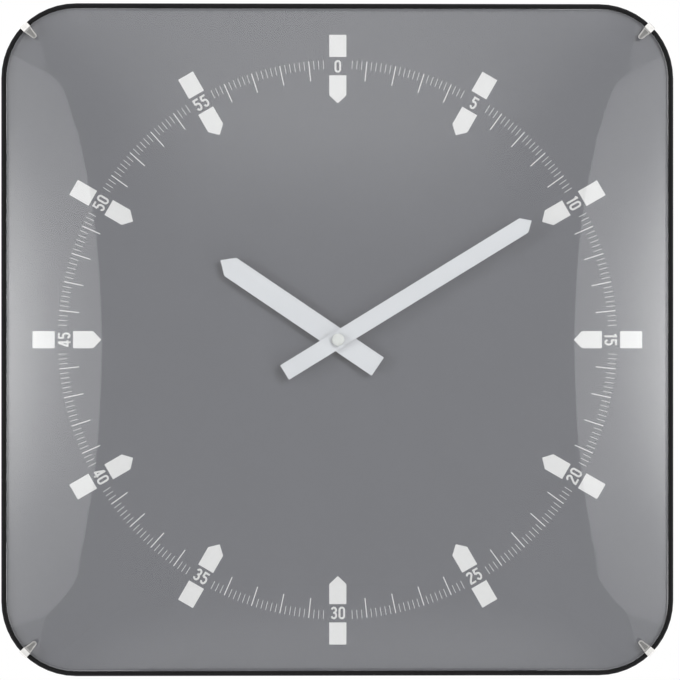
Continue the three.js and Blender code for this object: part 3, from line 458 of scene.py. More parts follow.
def case_shell(sizes):
    """The pan, its flange and the lip round the glass, without openings."""
    piece = add_slab(sizes.case_half, sizes.corner_radius, tray_low.y, sizes.flange_back)
    pan_depth = -sizes.flange_back
    wall_across = sizes.pan_wall * math.hypot(1, sizes.side_slope / pan_depth)
    floor_inset = sizes.flange_width + sizes.side_slope

    def inside_at(depth):
        return floor_inset + depth / pan_depth * sizes.side_slope + wall_across

    edit(piece)
    pick(piece, faces_at(BACK, sizes.flange_back))
    inset(sizes.flange_width)
    inset(sizes.side_slope, pan_depth)
    pick(piece, faces_at(FRONT, tray_low.y))
    inset(sizes.lip_width)
    extrude(back=sizes.flange_front - tray_low.y)
    seat_inset = inside_at(sizes.flange_front)
    floor_inside = inside_at(-sizes.pan_wall)
    inset(seat_inset - sizes.lip_width)
    inset(floor_inside - seat_inset, sizes.flange_front + sizes.pan_wall)
    close_edit()
    mend_normals(piece)
    return piece, floor_inside


def case_ribs(sizes, floor_inside):
    """Two ribs from each side of the collar to the wall of the pan."""
    start = sizes.window_half + sizes.collar_wall / 2
    end = sizes.case_half - floor_inside + sizes.pan_wall / 2
    side = sizes.window_half - sizes.window_radius
    half = sizes.rib_thickness / 2
    front = -sizes.pan_wall - sizes.rib_height
    ribs = []
    for quarter in range(4):
        for middle in (-side, side):
            rib = add_block((start, front, middle - half), (end, -sizes.pan_wall / 2, middle + half))
            ribs.append(turn_to(rib, quarter * math.pi / 2))
    return ribs


def nail_slot(sizes):
    """The tools that cut the hanging slot: a wide entry, and a narrow neck up to the seat of the nail."""
    front = -2 * sizes.pan_wall
    back = sizes.pan_wall
    entry = add_bar(sizes.nail_entry, front, back, (0, 0, -sizes.nail_drop))
    seat = add_bar(sizes.nail_neck, front, back)
    neck = add_block((-sizes.nail_neck, front, -sizes.nail_drop), (sizes.nail_neck, back, 0))
    return entry, seat, neck


def rim_holes(sizes):
    """The tools that cut the holes of the clip screws through the flange."""
    front = sizes.flange_front - MM
    back = sizes.flange_back + MM
    places = [corner_place(screw_reach(sizes), degrees) for degrees in CORNERS.values()]
    return [add_bar(sizes.screw_hole, front, back, place, steps=24) for place in places]


class WALLCLOCK_OT_case_tray(bpy.types.Operator):
    """Build the black tray: pan, flange, lip, ribs, movement window and hanging slot"""

    bl_idname = "wallclock.case_tray"
    bl_label = "Case tray"

    def execute(self, context):
        sizes = context.scene.clock_sizes
        piece, floor_inside = case_shell(sizes)
        collar_half = sizes.window_half + sizes.collar_wall
        collar_radius = sizes.window_radius + sizes.collar_wall
        collar = add_slab(collar_half, collar_radius, sizes.collar_front, -sizes.pan_wall / 2)
        combine(piece, [collar, *case_ribs(sizes, floor_inside)], "UNION")
        window = add_slab(sizes.window_half, sizes.window_radius, 2 * sizes.collar_front, sizes.pan_wall)
        combine(piece, [window, *nail_slot(sizes), *rim_holes(sizes)], "DIFFERENCE")
        soften(piece, width=0.0004, segments=3)
        tone = context.scene.clock_finishes.case
        material = moulded_plastic("case_plastic", tone, roughness=0.42, texture=0.2, shine=0.14)
        finish_piece(piece, "case_shell", material, "clock_case", "black_plastic", ["case_tray"])
        return {"FINISHED"}


class WALLCLOCK_OT_edge_gasket(bpy.types.Operator):
    """Build the black rubber ring between the glass and the lip"""

    bl_idname = "wallclock.edge_gasket"
    bl_label = "Edge gasket"

    def execute(self, context):
        sizes = context.scene.clock_sizes
        half = half_width("edge_gasket")
        radius = sizes.corner_radius - (sizes.case_half - half)
        piece = add_slab(half, radius, gasket_low.y, gasket_high.y)
        open_through(piece, sizes.gasket_width)
        soften(piece, width=0.00035, segments=4)
        material = soft_rubber("gasket_rubber", context.scene.clock_finishes.rubber)
        finish_piece(piece, "gasket_bead", material, "clock_case", "black_rubber", ["edge_gasket"])
        return {"FINISHED"}


# Glass


def bulge(x, z, half, power):
    """How full the dome is at a point, from 0 at its edge to 1 in the middle."""
    across = 1 - min(abs(x / half), 1) ** power
    up = 1 - min(abs(z / half), 1) ** power
    return across * up


def past_straights(x, z, half, radius):
    """How far a point lies past the straight sides of a square with round corners, along X and Z."""
    straight = half - radius
    return max(abs(x) - straight, 0), max(abs(z) - straight, 0)


def edge_distance(x, z, half, radius):
    """How far inside a square with round corners a point lies."""
    over = past_straights(x, z, half, radius)
    if all(over):
        return radius - math.hypot(*over)
    return min(half - abs(x), half - abs(z))


def hollow_depth(x, z, half, radius, sizes):
    """Depth of the hollow side over its edge: the same bulge, let down to nothing round the corners too."""
    depth = bulge(x, z, half, sizes.glass_power)
    over = past_straights(x, z, half, radius)
    fade_length = 0.02
    inside = edge_distance(x, z, half, radius)
    if all(over) and inside < fade_length:
        stretch = radius / math.hypot(*over)
        edge = [half - radius + stretch * part for part in over]
        depth -= bulge(*edge, half, sizes.glass_power) * (1 - inside / fade_length) ** 2
    return sizes.glass_rise * max(depth, 0)


def dome_rings(count):
    """Draws the selected face in through rings, closer together near the edge, and closes the middle."""
    shares = [math.sin((count - ring) / count * math.pi / 2) for ring in range(count)]
    for here, there in zip(shares, shares[1:]):
        ratio = there / here
        extrude()
        bpy.ops.transform.resize(value=(ratio, 1, ratio), center_override=hands_axis)
    bpy.ops.mesh.poke()


class WALLCLOCK_OT_glass_dome(bpy.types.Operator):
    """Build the domed glass"""

    bl_idname = "wallclock.glass_dome"
    bl_label = "Domed glass"

    def execute(self, context):
        sizes = context.scene.clock_sizes
        rings = 30
        seat_width = 0.0004
        edge_step = 0.0002
        edge_front = sizes.glass_seat - sizes.glass_thickness
        radius = sizes.corner_radius - (sizes.case_half - sizes.glass_half)
        piece = add_slab(sizes.glass_half, radius, edge_front, sizes.glass_seat, side_cuts=27)
        edit(piece)
        pick(piece, faces_at(BACK, sizes.glass_seat))
        inset(seat_width)
        dome_rings(rings)
        pick(piece, faces_at(FRONT, edge_front))
        dome_rings(rings)
        close_edit()
        hollow_half = sizes.glass_half - seat_width
        hollow_radius = radius - seat_width
        for vertex in piece.data.vertices:
            x, z = vertex.co.x - hands_axis.x, vertex.co.z - hands_axis.z
            if abs(vertex.co.y - edge_front) < TINY:
                fullness = bulge(x, z, sizes.glass_half, sizes.glass_power)
                vertex.co.y = edge_front - sizes.glass_rise * fullness
            elif edge_distance(x, z, hollow_half, hollow_radius) > TINY:
                depth = hollow_depth(x, z, hollow_half, hollow_radius, sizes)
                vertex.co.y = sizes.glass_seat - edge_step - depth
        soften(piece, width=0.0002, degrees=50)
        material = clear_glass("dome_glass")
        finish_piece(piece, "glass_shell", material, "clock_case", "clear_glass", ["glass_dome"])
        return {"FINISHED"}


# Dial and print


class WALLCLOCK_OT_dial_sheet(bpy.types.Operator):
    """Build the painted dial"""

    bl_idname = "wallclock.dial_sheet"
    bl_label = "Dial sheet"

    def execute(self, context):
        sizes = context.scene.clock_sizes
        bush_clearance = 0.0003
        front = sizes.dial_back - sizes.dial_thickness
        radius = sizes.corner_radius - (sizes.case_half - sizes.dial_half)
        piece = add_slab(sizes.dial_half, radius, front, sizes.dial_back)
        hole = add_bar(sizes.bush_radius + bush_clearance, front - MM, sizes.dial_back + MM, hands_axis)
        combine(piece, [hole], "DIFFERENCE")
        soften(piece, width=0.0001)
        material = satin_paint("dial_grey", context.scene.clock_finishes.dial, roughness=0.5)
        finish_piece(piece, "dial_sheet", material, "clock_case", "dial_paint", ["dial_plate"])
        return {"FINISHED"}


def ink_depths(sizes):
    """The front and back of the print, whose back is sunk a little in the paint."""
    sunk = 0.00003
    face = sizes.dial_back - sizes.dial_thickness
    return face - sizes.ink_height, face + sunk


def pointed_bar(width, tail, shoulder, tip, front, back):
    """A flat bar along Z from the height of its tail to a pointed tip."""
    piece = add_block((-width / 2, front, min(tail, shoulder)), (width / 2, back, max(tail, shoulder)))
    upward = 1 if tip > shoulder else -1
    edit(piece)
    pick(piece, lambda face: face.normal.z * upward > FACING)
    extrude(up=tip - shoulder)
    bpy.ops.transform.resize(value=(0, 1, 1), center_override=(0, 0, tip))
    close_edit()
    merge_seams(piece)
    mend_normals(piece)
    return piece


def repeat_hourly(piece):
    """Repeats a mesh that is drawn round the origin at each hour, and moves it to the hands' axis."""
    edit(piece)
    pick_all()
    step = math.radians(HOUR_DEGREES)
    steps = HOURS - 1
    bpy.ops.mesh.spin(steps=steps, dupli=True, angle=step * steps, center=(0, 0, 0), axis=(0, 1, 0))
    close_edit()
    turn_to(piece, 0)


class WALLCLOCK_OT_hour_marks(bpy.types.Operator):
    """Print the block and the arrow of each hour"""

    bl_idname = "wallclock.hour_marks"
    bl_label = "Hour marks"

    def execute(self, context):
        sizes = context.scene.clock_sizes
        front, back = ink_depths(sizes)
        half = sizes.mark_width / 2
        block = add_block((-half, front, sizes.mark_inner), (half, back, sizes.mark_outer))
        arrow = pointed_bar(
            sizes.mark_width, sizes.arrow_base, sizes.arrow_shoulder, sizes.arrow_tip, front, back
        )
        piece = join([block, arrow])
        soften(piece, width=0.00005, segments=1, degrees=60)
        repeat_hourly(piece)
        material = print_ink("mark_ink", context.scene.clock_finishes.ink)
        finish_piece(piece, "hour_marks", material, "clock_case", "dial_paint")
        return {"FINISHED"}


class WALLCLOCK_OT_minute_track(bpy.types.Operator):
    """Print the ticks between the numbers"""

    bl_idname = "wallclock.minute_track"
    bl_label = "Minute track"

    def execute(self, context):
        sizes = context.scene.clock_sizes
        front, back = ink_depths(sizes)
        clear_of_number = 3
        ticks = []
        for degrees in range(clear_of_number, HOUR_DEGREES - clear_of_number + 1):
            is_minute = degrees % MINUTE_DEGREES == 0
            width = sizes.long_tick_width if is_minute else sizes.short_tick_width
            reach = sizes.long_tick if is_minute else sizes.short_tick
            start = sizes.tick_outer - reach
            tick = add_block((-width / 2, front, start), (width / 2, back, sizes.tick_outer))
            ticks.append(turn_to(tick, math.radians(degrees), (0, 0, 0)))
        piece = join(ticks)
        repeat_hourly(piece)
        material = print_ink("track_ink", context.scene.clock_finishes.ink)
        finish_piece(piece, "minute_track", material, "clock_case", "dial_paint", flat=True)
        return {"FINISHED"}


def arc(across, up, wide, high, start, end, steps=10):
    """Points along part of an ellipse, with its angles in degrees."""
    angles = [math.radians(start + (end - start) * step / steps) for step in range(steps + 1)]
    return [(across + wide * math.cos(angle), up + high * math.sin(angle)) for angle in angles]


# Strokes of the digits along their middle lines, in shares of half the height from the middle of the digit.
# Each has its points, and whether it closes on itself.
TOP = 0.84
ROUND = 0.365
DIGITS = {
    "0": [
        (arc(0, TOP - ROUND, ROUND, ROUND, 0, 180) + arc(0, ROUND - TOP, ROUND, ROUND, 180, 360), True),
    ],
    "1": [
        ([(0.09, 1), (0.09, -1)], False),
        ([(-0.24, 0.61), (0.09, 0.86)], False),
    ],
    "2": [
        (
            arc(0, TOP - ROUND, ROUND, ROUND, 172, -22)
            + [(0.16, 0.13), (-0.2, -0.36), (-0.33, -0.6), (-0.35, -0.84)],
            False,
        ),
        ([(-0.508, -TOP), (0.52, -TOP)], False),
    ],
    "3": [
        (arc(0, 0.43, ROUND * 0.95, 0.41, 165, -75) + [(-0.1, 0.04)], False),
        ([(-0.1, 0.04)] + arc(0, -0.4, ROUND, 0.44, 75, -165), False),
    ],
    "4": [
        ([(0.22, 1), (0.22, -1)], False),
        ([(0.13, 0.88), (-0.36, -0.5)], False),
        ([(-0.5, -0.52), (0.52, -0.52)], False),
    ],
    "5": [
        ([(-0.47, TOP), (0.44, TOP)], False),
        ([(-0.31, 1), (-0.35, 0.1)], False),
        ([(-0.33, 0.12)] + arc(0, -0.32, ROUND, 0.52, 112, -160, 12), False),
    ],
}
DIGIT_WIDTHS = {"1": 0.6}
PLAIN_DIGIT_WIDTH = 1.046
DIGIT_GAP = 0.21
SAME_POINT = 0.001
TURNED_HOURS = range(4, 9)  # their numbers have their feet to the rim


def without_repeats(points, closed):
    """A line without the points that lie on the one before, or on the first where the line closes."""
    line = points[:1]
    for point in points[1:]:
        if math.dist(point, line[-1]) > SAME_POINT:
            line.append(point)
    if closed and math.dist(line[0], line[-1]) < SAME_POINT:
        line.pop()
    return line


def stroke_wall(points, closed, height, width, depth):
    """A stroke of even width along a line of points, as a solid that faces the viewer."""
    curve = bpy.data.curves.new("stroke", "CURVE")
    curve.dimensions = "2D"
    curve.extrude = depth / 2
    line = curve.splines.new("POLY")
    line.points.add(len(points) - 1)
    for point, (across, up) in zip(line.points, points):
        point.co = (across * height / 2, up * height / 2, 0, 1)
    line.use_cyclic_u = closed
    piece = add_object(curve)
    bpy.ops.object.convert(target="MESH")
    piece.rotation_euler = FACE_ON
    settle(piece)
    merge_seams(piece)
    add_modifier(piece, "SOLIDIFY", thickness=width, offset=0, use_even_offset=True)
    mend_normals(piece)
    return piece


def digit_solid(digit, sizes):
    """One digit, round the origin."""
    front, back = ink_depths(sizes)
    whole, *others = [
        stroke_wall(
            without_repeats(points, closed), closed, sizes.numeral_height, sizes.stroke_width, back - front
        )
        for points, closed in DIGITS[digit]
    ]
    combine(whole, others, "UNION")
    return whole


def number_solid(text, masters, sizes):
    """A number of one or two digits side by side, round the origin."""
    depth = sum(ink_depths(sizes)) / 2
    half = sizes.numeral_height / 2
    gap = DIGIT_GAP * half
    widths = [DIGIT_WIDTHS.get(digit, PLAIN_DIGIT_WIDTH) * half for digit in text]
    left = -(sum(widths) + gap * (len(text) - 1)) / 2
    glyphs = []
    for digit, width in zip(text, widths):
        glyph = copy_piece(masters[digit])
        glyph.location = (left + width / 2, depth, 0)
        glyphs.append(settle(glyph))
        left += width + gap
    return join(glyphs)


class WALLCLOCK_OT_numerals(bpy.types.Operator):
    """Print the numbers 0 to 55 round the dial"""

    bl_idname = "wallclock.numerals"
    bl_label = "Numerals"

    def execute(self, context):
        sizes = context.scene.clock_sizes
        masters = {digit: digit_solid(digit, sizes) for digit in DIGITS}
        numbers = []
        for hour in range(HOURS):
            degrees = hour * HOUR_DEGREES
            number = number_solid(str(degrees // MINUTE_DEGREES), masters, sizes)
            turn_to(number, math.pi if hour in TURNED_HOURS else 0, (0, 0, sizes.numeral_radius))
            numbers.append(turn_to(number, math.radians(degrees), (0, 0, 0)))
        for master in masters.values():
            bpy.data.objects.remove(master)
        piece = turn_to(join(numbers), 0)
        material = print_ink("numeral_ink", context.scene.clock_finishes.ink)
        finish_piece(piece, "minute_numerals", material, "clock_case", "dial_paint", flat=True)
        return {"FINISHED"}


# Clips and screws


def clip_ends(sizes):
    """From the hands' axis to the tip of a clip and to the corner of the glass under it."""
    inset_of_glass = sizes.case_half - sizes.glass_half
    glass_corner = corner_reach(sizes.glass_half, sizes.corner_radius - inset_of_glass)
    return glass_corner - sizes.clip_reach, glass_corner


def clip_sheet(sizes):
    """One clip along +X, as bent sheet: foot, web, step over the rim and tab on the glass."""
    gap = 0.00005
    tip_rounding = 0.47
    bend_width = 0.00055
    tip, glass_corner = clip_ends(sizes)
    web = corner_reach(sizes.case_half, sizes.corner_radius) + gap
    foot_end = web - sizes.screw_inset - sizes.screw_head - 2 * MM
    foot_front = sizes.flange_back + gap
    edge_front = sizes.glass_seat - sizes.glass_thickness

    def over_glass(reach):
        side = reach / math.sqrt(2)
        fullness = bulge(side, side, sizes.glass_half, sizes.glass_power)
        return edge_front - sizes.glass_rise * fullness - 2 * gap

    edge_back = over_glass(glass_corner)
    tip_back = over_glass(tip)
    foot_middle = ((foot_end + web) / 2, foot_front, 0)
    bpy.ops.mesh.primitive_plane_add(size=1, location=foot_middle, rotation=FACE_ON)
    piece = bpy.context.object
    piece.scale = (web - foot_end, sizes.clip_width, 1)
    settle(piece)
    edit(piece, "EDGE")
    pick(piece, edges_at(X_AXIS, web), "edges")
    extrude(back=edge_back - foot_front)
    extrude(across=glass_corner - web)
    extrude(across=tip - glass_corner, back=tip_back - edge_back)
    narrow = sizes.clip_tip_width / sizes.clip_width
    bpy.ops.transform.resize(value=(1, 1, narrow), center_override=(tip, tip_back, 0))
    bpy.ops.mesh.select_mode(type="VERT")
    pick(piece, lambda vertex: abs(vertex.co.x - tip) < TINY, "verts")
    bpy.ops.mesh.bevel(affect="VERTICES", offset=sizes.clip_tip_width * tip_rounding, segments=6)
    bpy.ops.mesh.select_mode(type="EDGE")
    least_bend = math.radians(5)
    pick(piece, lambda edge: len(edge.link_faces) == 2 and edge.calc_face_angle() > least_bend, "edges")
    bpy.ops.mesh.bevel(offset=bend_width, segments=5)
    close_edit()
    mend_normals(piece)
    return piece


def clip_solid(sizes, materials):
    """One clip along +X with its embossed tab and its screw hole, with painted shade in the sunk panel and a
    painted highlight on the bends.
    """
    piece = clip_sheet(sizes)
    tip, glass_corner = clip_ends(sizes)
    foot = max(piece.data.polygons, key=lambda face: face.center.y)
    if foot.normal.y < 0:
        edit(piece)
        pick_all()
        bpy.ops.mesh.flip_normals()
        close_edit()
    add_modifier(piece, "SOLIDIFY", thickness=sizes.clip_thickness, offset=1, use_even_offset=True)
    coat(piece, *materials)
    panel_end = glass_corner - 0.0015
    panel_border = 0.0005
    panel_slope = 0.00015
    panel_depth = 0.00018
    least_panel = 5e-6
    highlight_start = glass_corner - 0.0002

    def is_panel(face):
        on_tab = face.normal.y < -FACING and tip < face.calc_center_median().x < panel_end
        return on_tab and face.calc_area() > least_panel

    edit(piece)
    pick(piece, is_panel)
    inset(panel_border)
    inset(panel_slope, -panel_depth)
    # The sunk panel takes the darker nickel, a painted shade.
    assign(piece, 1)
    # The bends take the light nickel, a painted highlight.
    pick(piece, lambda face: face.normal.y < 0.2 and face.calc_center_median().x > highlight_start)
    assign(piece, 2)
    close_edit()
    place = (screw_reach(sizes), 0, 0)
    hole = add_bar(sizes.screw_hole, sizes.flange_back - MM, sizes.flange_back + 2 * MM, place, steps=32)
    combine(piece, [hole], "DIFFERENCE")
    soften(piece, width=0.00012, segments=3)
    return piece


class WALLCLOCK_OT_glass_clips(bpy.types.Operator):
    """Build the four clips that hold the glass"""

    bl_idname = "wallclock.glass_clips"
    bl_label = "Glass clips"

    def execute(self, context):
        sizes = context.scene.clock_sizes
        finishes = context.scene.clock_finishes
        bright = plated_metal("clip_nickel", finishes.nickel, roughness=0.18)
        # Painted shade: a darker nickel for the sunk panels of the clips.
        panel_shade = plated_metal("clip_panel_nickel", finishes.painted_shade_nickel, roughness=0.24)
        # Painted highlight: a light nickel for the bends of the clips.
        bend_highlight = plated_metal("clip_bend_nickel", finishes.bend_nickel, roughness=0.18)
        master = clip_solid(sizes, (bright, panel_shade, bend_highlight))
        for corner, degrees in CORNERS.items():
            clip = turn_to(copy_piece(master), -math.radians(degrees))
            replaced = [f"glass_clip_{corner}"]
            finish_piece(clip, f"spring_clip_{corner}", None, "clock_case", "nickel", replaced)
        bpy.data.objects.remove(master)
        return {"FINISHED"}


def screw_solid(sizes):
    """One screw round the origin, with a pan head towards the wall and a cross recess in it."""
    shank_radius = 0.0012
    head_height = 0.0014
    head_rounding = 0.0008
    recess_depth = 0.0008
    recess_sides = (0.0029, 0.0007)
    low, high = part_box("clip_screw_top_right")
    head_front = high.y - head_height
    piece = add_bar(sizes.screw_head, head_front, high.y)
    edit(piece)
    pick(piece, faces_at(FRONT, head_front))
    inset(sizes.screw_head - shank_radius)
    extrude(back=low.y - head_front)
    close_edit()
    edit(piece, "EDGE")
    pick(piece, edges_at(Y_AXIS, high.y), "edges")
    bpy.ops.mesh.bevel(offset=head_rounding, segments=5)
    close_edit()
    for long, wide in (recess_sides, reversed(recess_sides)):
        tool = add_block((-long / 2, high.y - recess_depth, -wide / 2), (long / 2, high.y + MM, wide / 2))
        combine(piece, [tool], "DIFFERENCE")
    soften(piece, width=0.00008, degrees=40)
    return piece


class WALLCLOCK_OT_clip_screws(bpy.types.Operator):
    """Build the screws of the clips, with their cross recesses"""

    bl_idname = "wallclock.clip_screws"
    bl_label = "Clip screws"

    def execute(self, context):
        sizes = context.scene.clock_sizes
        master = screw_solid(sizes)
        material = plated_metal("screw_zinc", context.scene.clock_finishes.zinc, roughness=0.32)
        for corner, degrees in CORNERS.items():
            place = corner_place(screw_reach(sizes), degrees)
            screw = turn_to(copy_piece(master), -math.radians(degrees), place)
            replaced = [f"clip_screw_{corner}"]
            finish_piece(screw, f"pan_screw_{corner}", material, "clock_case", "zinc_steel", replaced)
        bpy.data.objects.remove(master)
        return {"FINISHED"}


# Hands


def finish_hand(piece, bore, front, back, degrees, *names):
    """Bores a hand for its arbor, turns it to its time and finishes it."""
    combine(piece, [add_bar(bore, front - MM, back + MM)], "DIFFERENCE")
    soften(piece, width=0.00012)
    turn_to(piece, math.radians(degrees))
    finish_piece(piece, *names)


class WALLCLOCK_OT_hands(bpy.types.Operator):
    """Build the hour hand and the minute hand"""

    bl_idname = "wallclock.hands"
    bl_label = "Hands"

    def execute(self, context):
        sizes = context.scene.clock_sizes
        material = satin_paint("hand_white", context.scene.clock_finishes.hands, roughness=0.42)
        minute_degrees = 58.4
        hour_degrees = 304.1
        collar_radius = 0.0036
        collar_bore = 0.0026
        shoulder = sizes.minute_length - sizes.minute_point
        front, back = minute_low.y, minute_high.y
        minute = pointed_bar(
            sizes.minute_width, -sizes.minute_tail, shoulder, sizes.minute_length, front, back
        )
        names = ("minute_blade", material, "minute_hand_group", "white_paint", ["minute_hand"])
        finish_hand(minute, sizes.arbor_bore, front, back, minute_degrees, *names)
        shoulder = sizes.hour_length - sizes.hour_point
        front, back = hour_low.y, hour_high.y
        blade_back = front + sizes.hand_thickness
        hour = pointed_bar(
            sizes.hour_width, -sizes.hour_tail, shoulder, sizes.hour_length, front, blade_back
        )
        combine(hour, [add_bar(collar_radius, front + sizes.hand_thickness / 2, back)], "UNION")
        names = ("hour_blade", material, "hour_hand_group", "white_paint", ["hour_hand"])
        finish_hand(hour, collar_bore, front, back, hour_degrees, *names)
        return {"FINISHED"}


def spun(points, steps=64):
    """A solid of revolution about Y, from its outline as radius and depth."""
    mesh = bpy.data.meshes.new("profile")
    outline = [(radius, depth, 0) for radius, depth in points]
    mesh.from_pydata(outline, [(index, index + 1) for index in range(len(points) - 1)], [])
    piece = add_object(mesh)
    edit(piece)
    pick_all()
    bpy.ops.mesh.spin(steps=steps, angle=2 * math.pi, center=(0, 0, 0), axis=(0, 1, 0))
    close_edit()
    merge_seams(piece)
    mend_normals(piece)
    return piece


class WALLCLOCK_OT_hand_cap(bpy.types.Operator):
    """Build the push-on cap over the hands, with its gently domed front"""

    bl_idname = "wallclock.hand_cap"
    bl_label = "Hand cap"

    def execute(self, context):
        sizes = context.scene.clock_sizes
        dome_radius = 0.0073
        edge_radius = 0.0005
        bore_depth = 0.0022
        steps = 8
        side = sizes.cap_radius
        dome_edge = side - 0.6 * edge_radius
        edge_points = ((0.15, 0.3), (0, 0.8))  # in from the side and back from the dome, in edge radii
        points = []
        for step in range(steps + 1):
            reach = dome_edge * step / steps
            points.append((reach, cap_low.y + dome_radius - math.sqrt(dome_radius**2 - reach**2)))
        rim = points[-1][1]
        bore, floor = sizes.arbor_bore, cap_high.y - bore_depth
        points += [(side - inwards * edge_radius, rim + back * edge_radius) for inwards, back in edge_points]
        points += [(side, cap_high.y), (bore, cap_high.y), (bore, floor), (0, floor)]
        piece = turn_to(spun(points), 0)
        soften(piece, width=0.00006, degrees=60)
        tone = context.scene.clock_finishes.cap
        material = moulded_plastic("cap_plastic", tone, roughness=0.14, texture=0.0, shine=0.6)
        finish_piece(piece, "push_cap", material, "minute_hand_group", "white_plastic", ["hand_cap"])
        return {"FINISHED"}


# Fastening through the dial


def ring_piece(node, bore):
    """A round washer in the place of a node."""
    low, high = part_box(node)
    radius = half_width(node)
    piece = add_bar(radius, low.y, high.y, hands_axis, steps=64)
    open_through(piece, radius - bore)
    return piece


class WALLCLOCK_OT_dial_fixing(bpy.types.Operator):
    """Build the rubber washer, the brass washer and the nut that hold the movement to the dial"""

    bl_idname = "wallclock.dial_fixing"
    bl_label = "Dial fixing"

    def execute(self, context):
        finishes = context.scene.clock_finishes
        bush_clearance = 0.00005
        bore = context.scene.clock_sizes.bush_radius + bush_clearance
        rubber = ring_piece("rubber_washer", bore)
        soften(rubber, width=0.0002)
        material = soft_rubber("washer_rubber", finishes.rubber)
        finish_piece(rubber, "soft_washer", material, "clock_case", "black_rubber", ["rubber_washer"])
        brass = turned_metal("fixing_brass", finishes.brass, roughness=0.3)
        washer = ring_piece("nut_washer", bore)
        soften(washer, width=0.0001)
        finish_piece(washer, "brass_washer", brass, "clock_case", "brass", ["nut_washer"])
        nut = dressed_copy("hex_nut", width=0.0002)
        finish_piece(nut, "brass_nut", brass, "clock_case", "brass", ["hex_nut"])
        return {"FINISHED"}


# Movement


class WALLCLOCK_OT_movement_case(bpy.types.Operator):
    """Build the two halves of the movement's case"""

    bl_idname = "wallclock.movement_case"
    bl_label = "Movement case"

    def execute(self, context):
        tone = context.scene.clock_finishes.case
        material = moulded_plastic("movement_plastic", tone, roughness=0.36, texture=0.12, shine=0.2)
        halves = (
            ("front_half_case", "movement_front_case", 0.00018),
            ("rear_half_cover", "movement_rear_cover", 0.00022),
        )
        for name, node, edge_width in halves:
            piece = dressed_copy(node, edge_width)
            finish_piece(piece, name, material, "clock_case", "black_plastic", [node])
        return {"FINISHED"}


class WALLCLOCK_OT_setting_knob(bpy.types.Operator):
    """Build the ribbed knob that sets the hands"""

    bl_idname = "wallclock.setting_knob"
    bl_label = "Setting knob"

    def execute(self, context):
        least_end = 5e-5
        border = 0.0012
        hollow = 0.0003
        piece = dressed_copy("setting_knob", width=0.00012)
        edit(piece)
        pick(piece, lambda face: face.normal.y > FACING and face.calc_area() > least_end)
        inset(border)
        inset(hollow, -hollow)
        close_edit()
        tone = context.scene.clock_finishes.cap
        material = moulded_plastic("knob_plastic", tone, roughness=0.4, texture=0.1)
        finish_piece(piece, "ribbed_knob", material, "setting_knob_body", "white_plastic", ["setting_knob"])
        return {"FINISHED"}


class WALLCLOCK_OT_battery(bpy.types.Operator):
    """Build the battery"""

    bl_idname = "wallclock.battery"
    bl_label = "Battery"

    def execute(self, context):
        finishes = context.scene.clock_finishes
        nub_length = 0.0014
        nub_radius = 0.0026
        crimp = 0.0011
        step = 0.0002
        sunk = 0.0004
        minus_end = ((crimp, 0), (step, -0.0003), (0.0008, 0), (0.0006, 0.0003))
        radius = (battery_high.z - battery_low.z) / 2
        body_end = battery_high.x - nub_length
        middle = (battery_low + battery_high) / 2
        place = ((body_end + battery_low.x) / 2, middle.y, middle.z)
        piece = add_cylinder(radius, body_end - battery_low.x, place, (0, math.pi / 2, 0), steps=64)
        edit(piece)
        pick(piece, lambda face: face.normal.x > FACING)
        inset(crimp)
        inset(step, -sunk)
        inset(radius - crimp - step - nub_radius)
        extrude(across=nub_length + sunk)
        pick(piece, lambda face: face.normal.x < -FACING)
        for width, depth in minus_end:
            inset(width, depth)
        close_edit()
        soften(piece, width=0.0004, segments=4, degrees=50)
        finish_piece(piece, "battery_cell", None, "battery_body", "battery_sleeve", ["battery"])
        steel = plated_metal("battery_steel", finishes.zinc, roughness=0.3)
        coat(piece, battery_sleeve("battery_wrap", finishes), steel)
        for face in piece.data.polygons:
            reach = math.hypot(face.center.y - middle.y, face.center.z - middle.z)
            at_end = face.center.x > body_end - MM or face.center.x < battery_low.x + MM
            if at_end and reach < radius - MM:
                face.material_index = 1
        return {"FINISHED"}


class WALLCLOCK_OT_works(bpy.types.Operator):
    """Give the wheels, the motor, the circuit and the contacts their finishes"""

    bl_idname = "wallclock.works"
    bl_label = "Works"

    def execute(self, context):
        finishes = context.scene.clock_finishes
        wheels = ("hour_wheel", "minute_wheel", "centre_wheel", "third_wheel", "second_wheel")
        ivory = moulded_plastic("wheel_ivory", finishes.ivory, roughness=0.45, texture=0.08)
        steel = turned_metal("magnet_steel", finishes.magnet, roughness=0.4)
        surfaces = {
            **dict.fromkeys(("bridge_plate", *wheels), ivory),
            **dict.fromkeys(("motor_rotor", "motor_stator"), steel),
            "step_wheel": moulded_plastic("wheel_red", finishes.red, roughness=0.45, texture=0.08),
            "minute_arbor": turned_metal("arbor_brass", finishes.brass, roughness=0.3),
            "clutch_spring": plated_metal("spring_zinc", finishes.zinc, roughness=0.3),
            "coil_bobbin": moulded_plastic("bobbin_plastic", finishes.cap, roughness=0.45, texture=0.08),
            "coil_winding": wire_winding("coil_copper", finishes.copper),
            "circuit_board": lacquered_board("board_green", finishes),
            "chip_blob": moulded_plastic("chip_resin", finishes.resin, roughness=0.25, texture=0.05),
            "quartz_crystal": plated_metal("crystal_can", finishes.zinc, roughness=0.25),
            "plus_contact": plated_metal("contact_nickel", finishes.nickel, roughness=0.25),
            "minus_contact": plated_metal("leaf_nickel", finishes.nickel, roughness=0.25),
        }
        for node, material in surfaces.items():
            coat(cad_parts[node], material)
        return {"FINISHED"}


# Shader nodes


def set_inputs(tree, node, inputs):
    """Sets the inputs of a node, and links those that come from other nodes."""
    for key, value in inputs.items():
        if isinstance(value, bpy.types.NodeSocket):
            tree.links.new(value, node.inputs[key])
        else:
            node.inputs[key].default_value = value


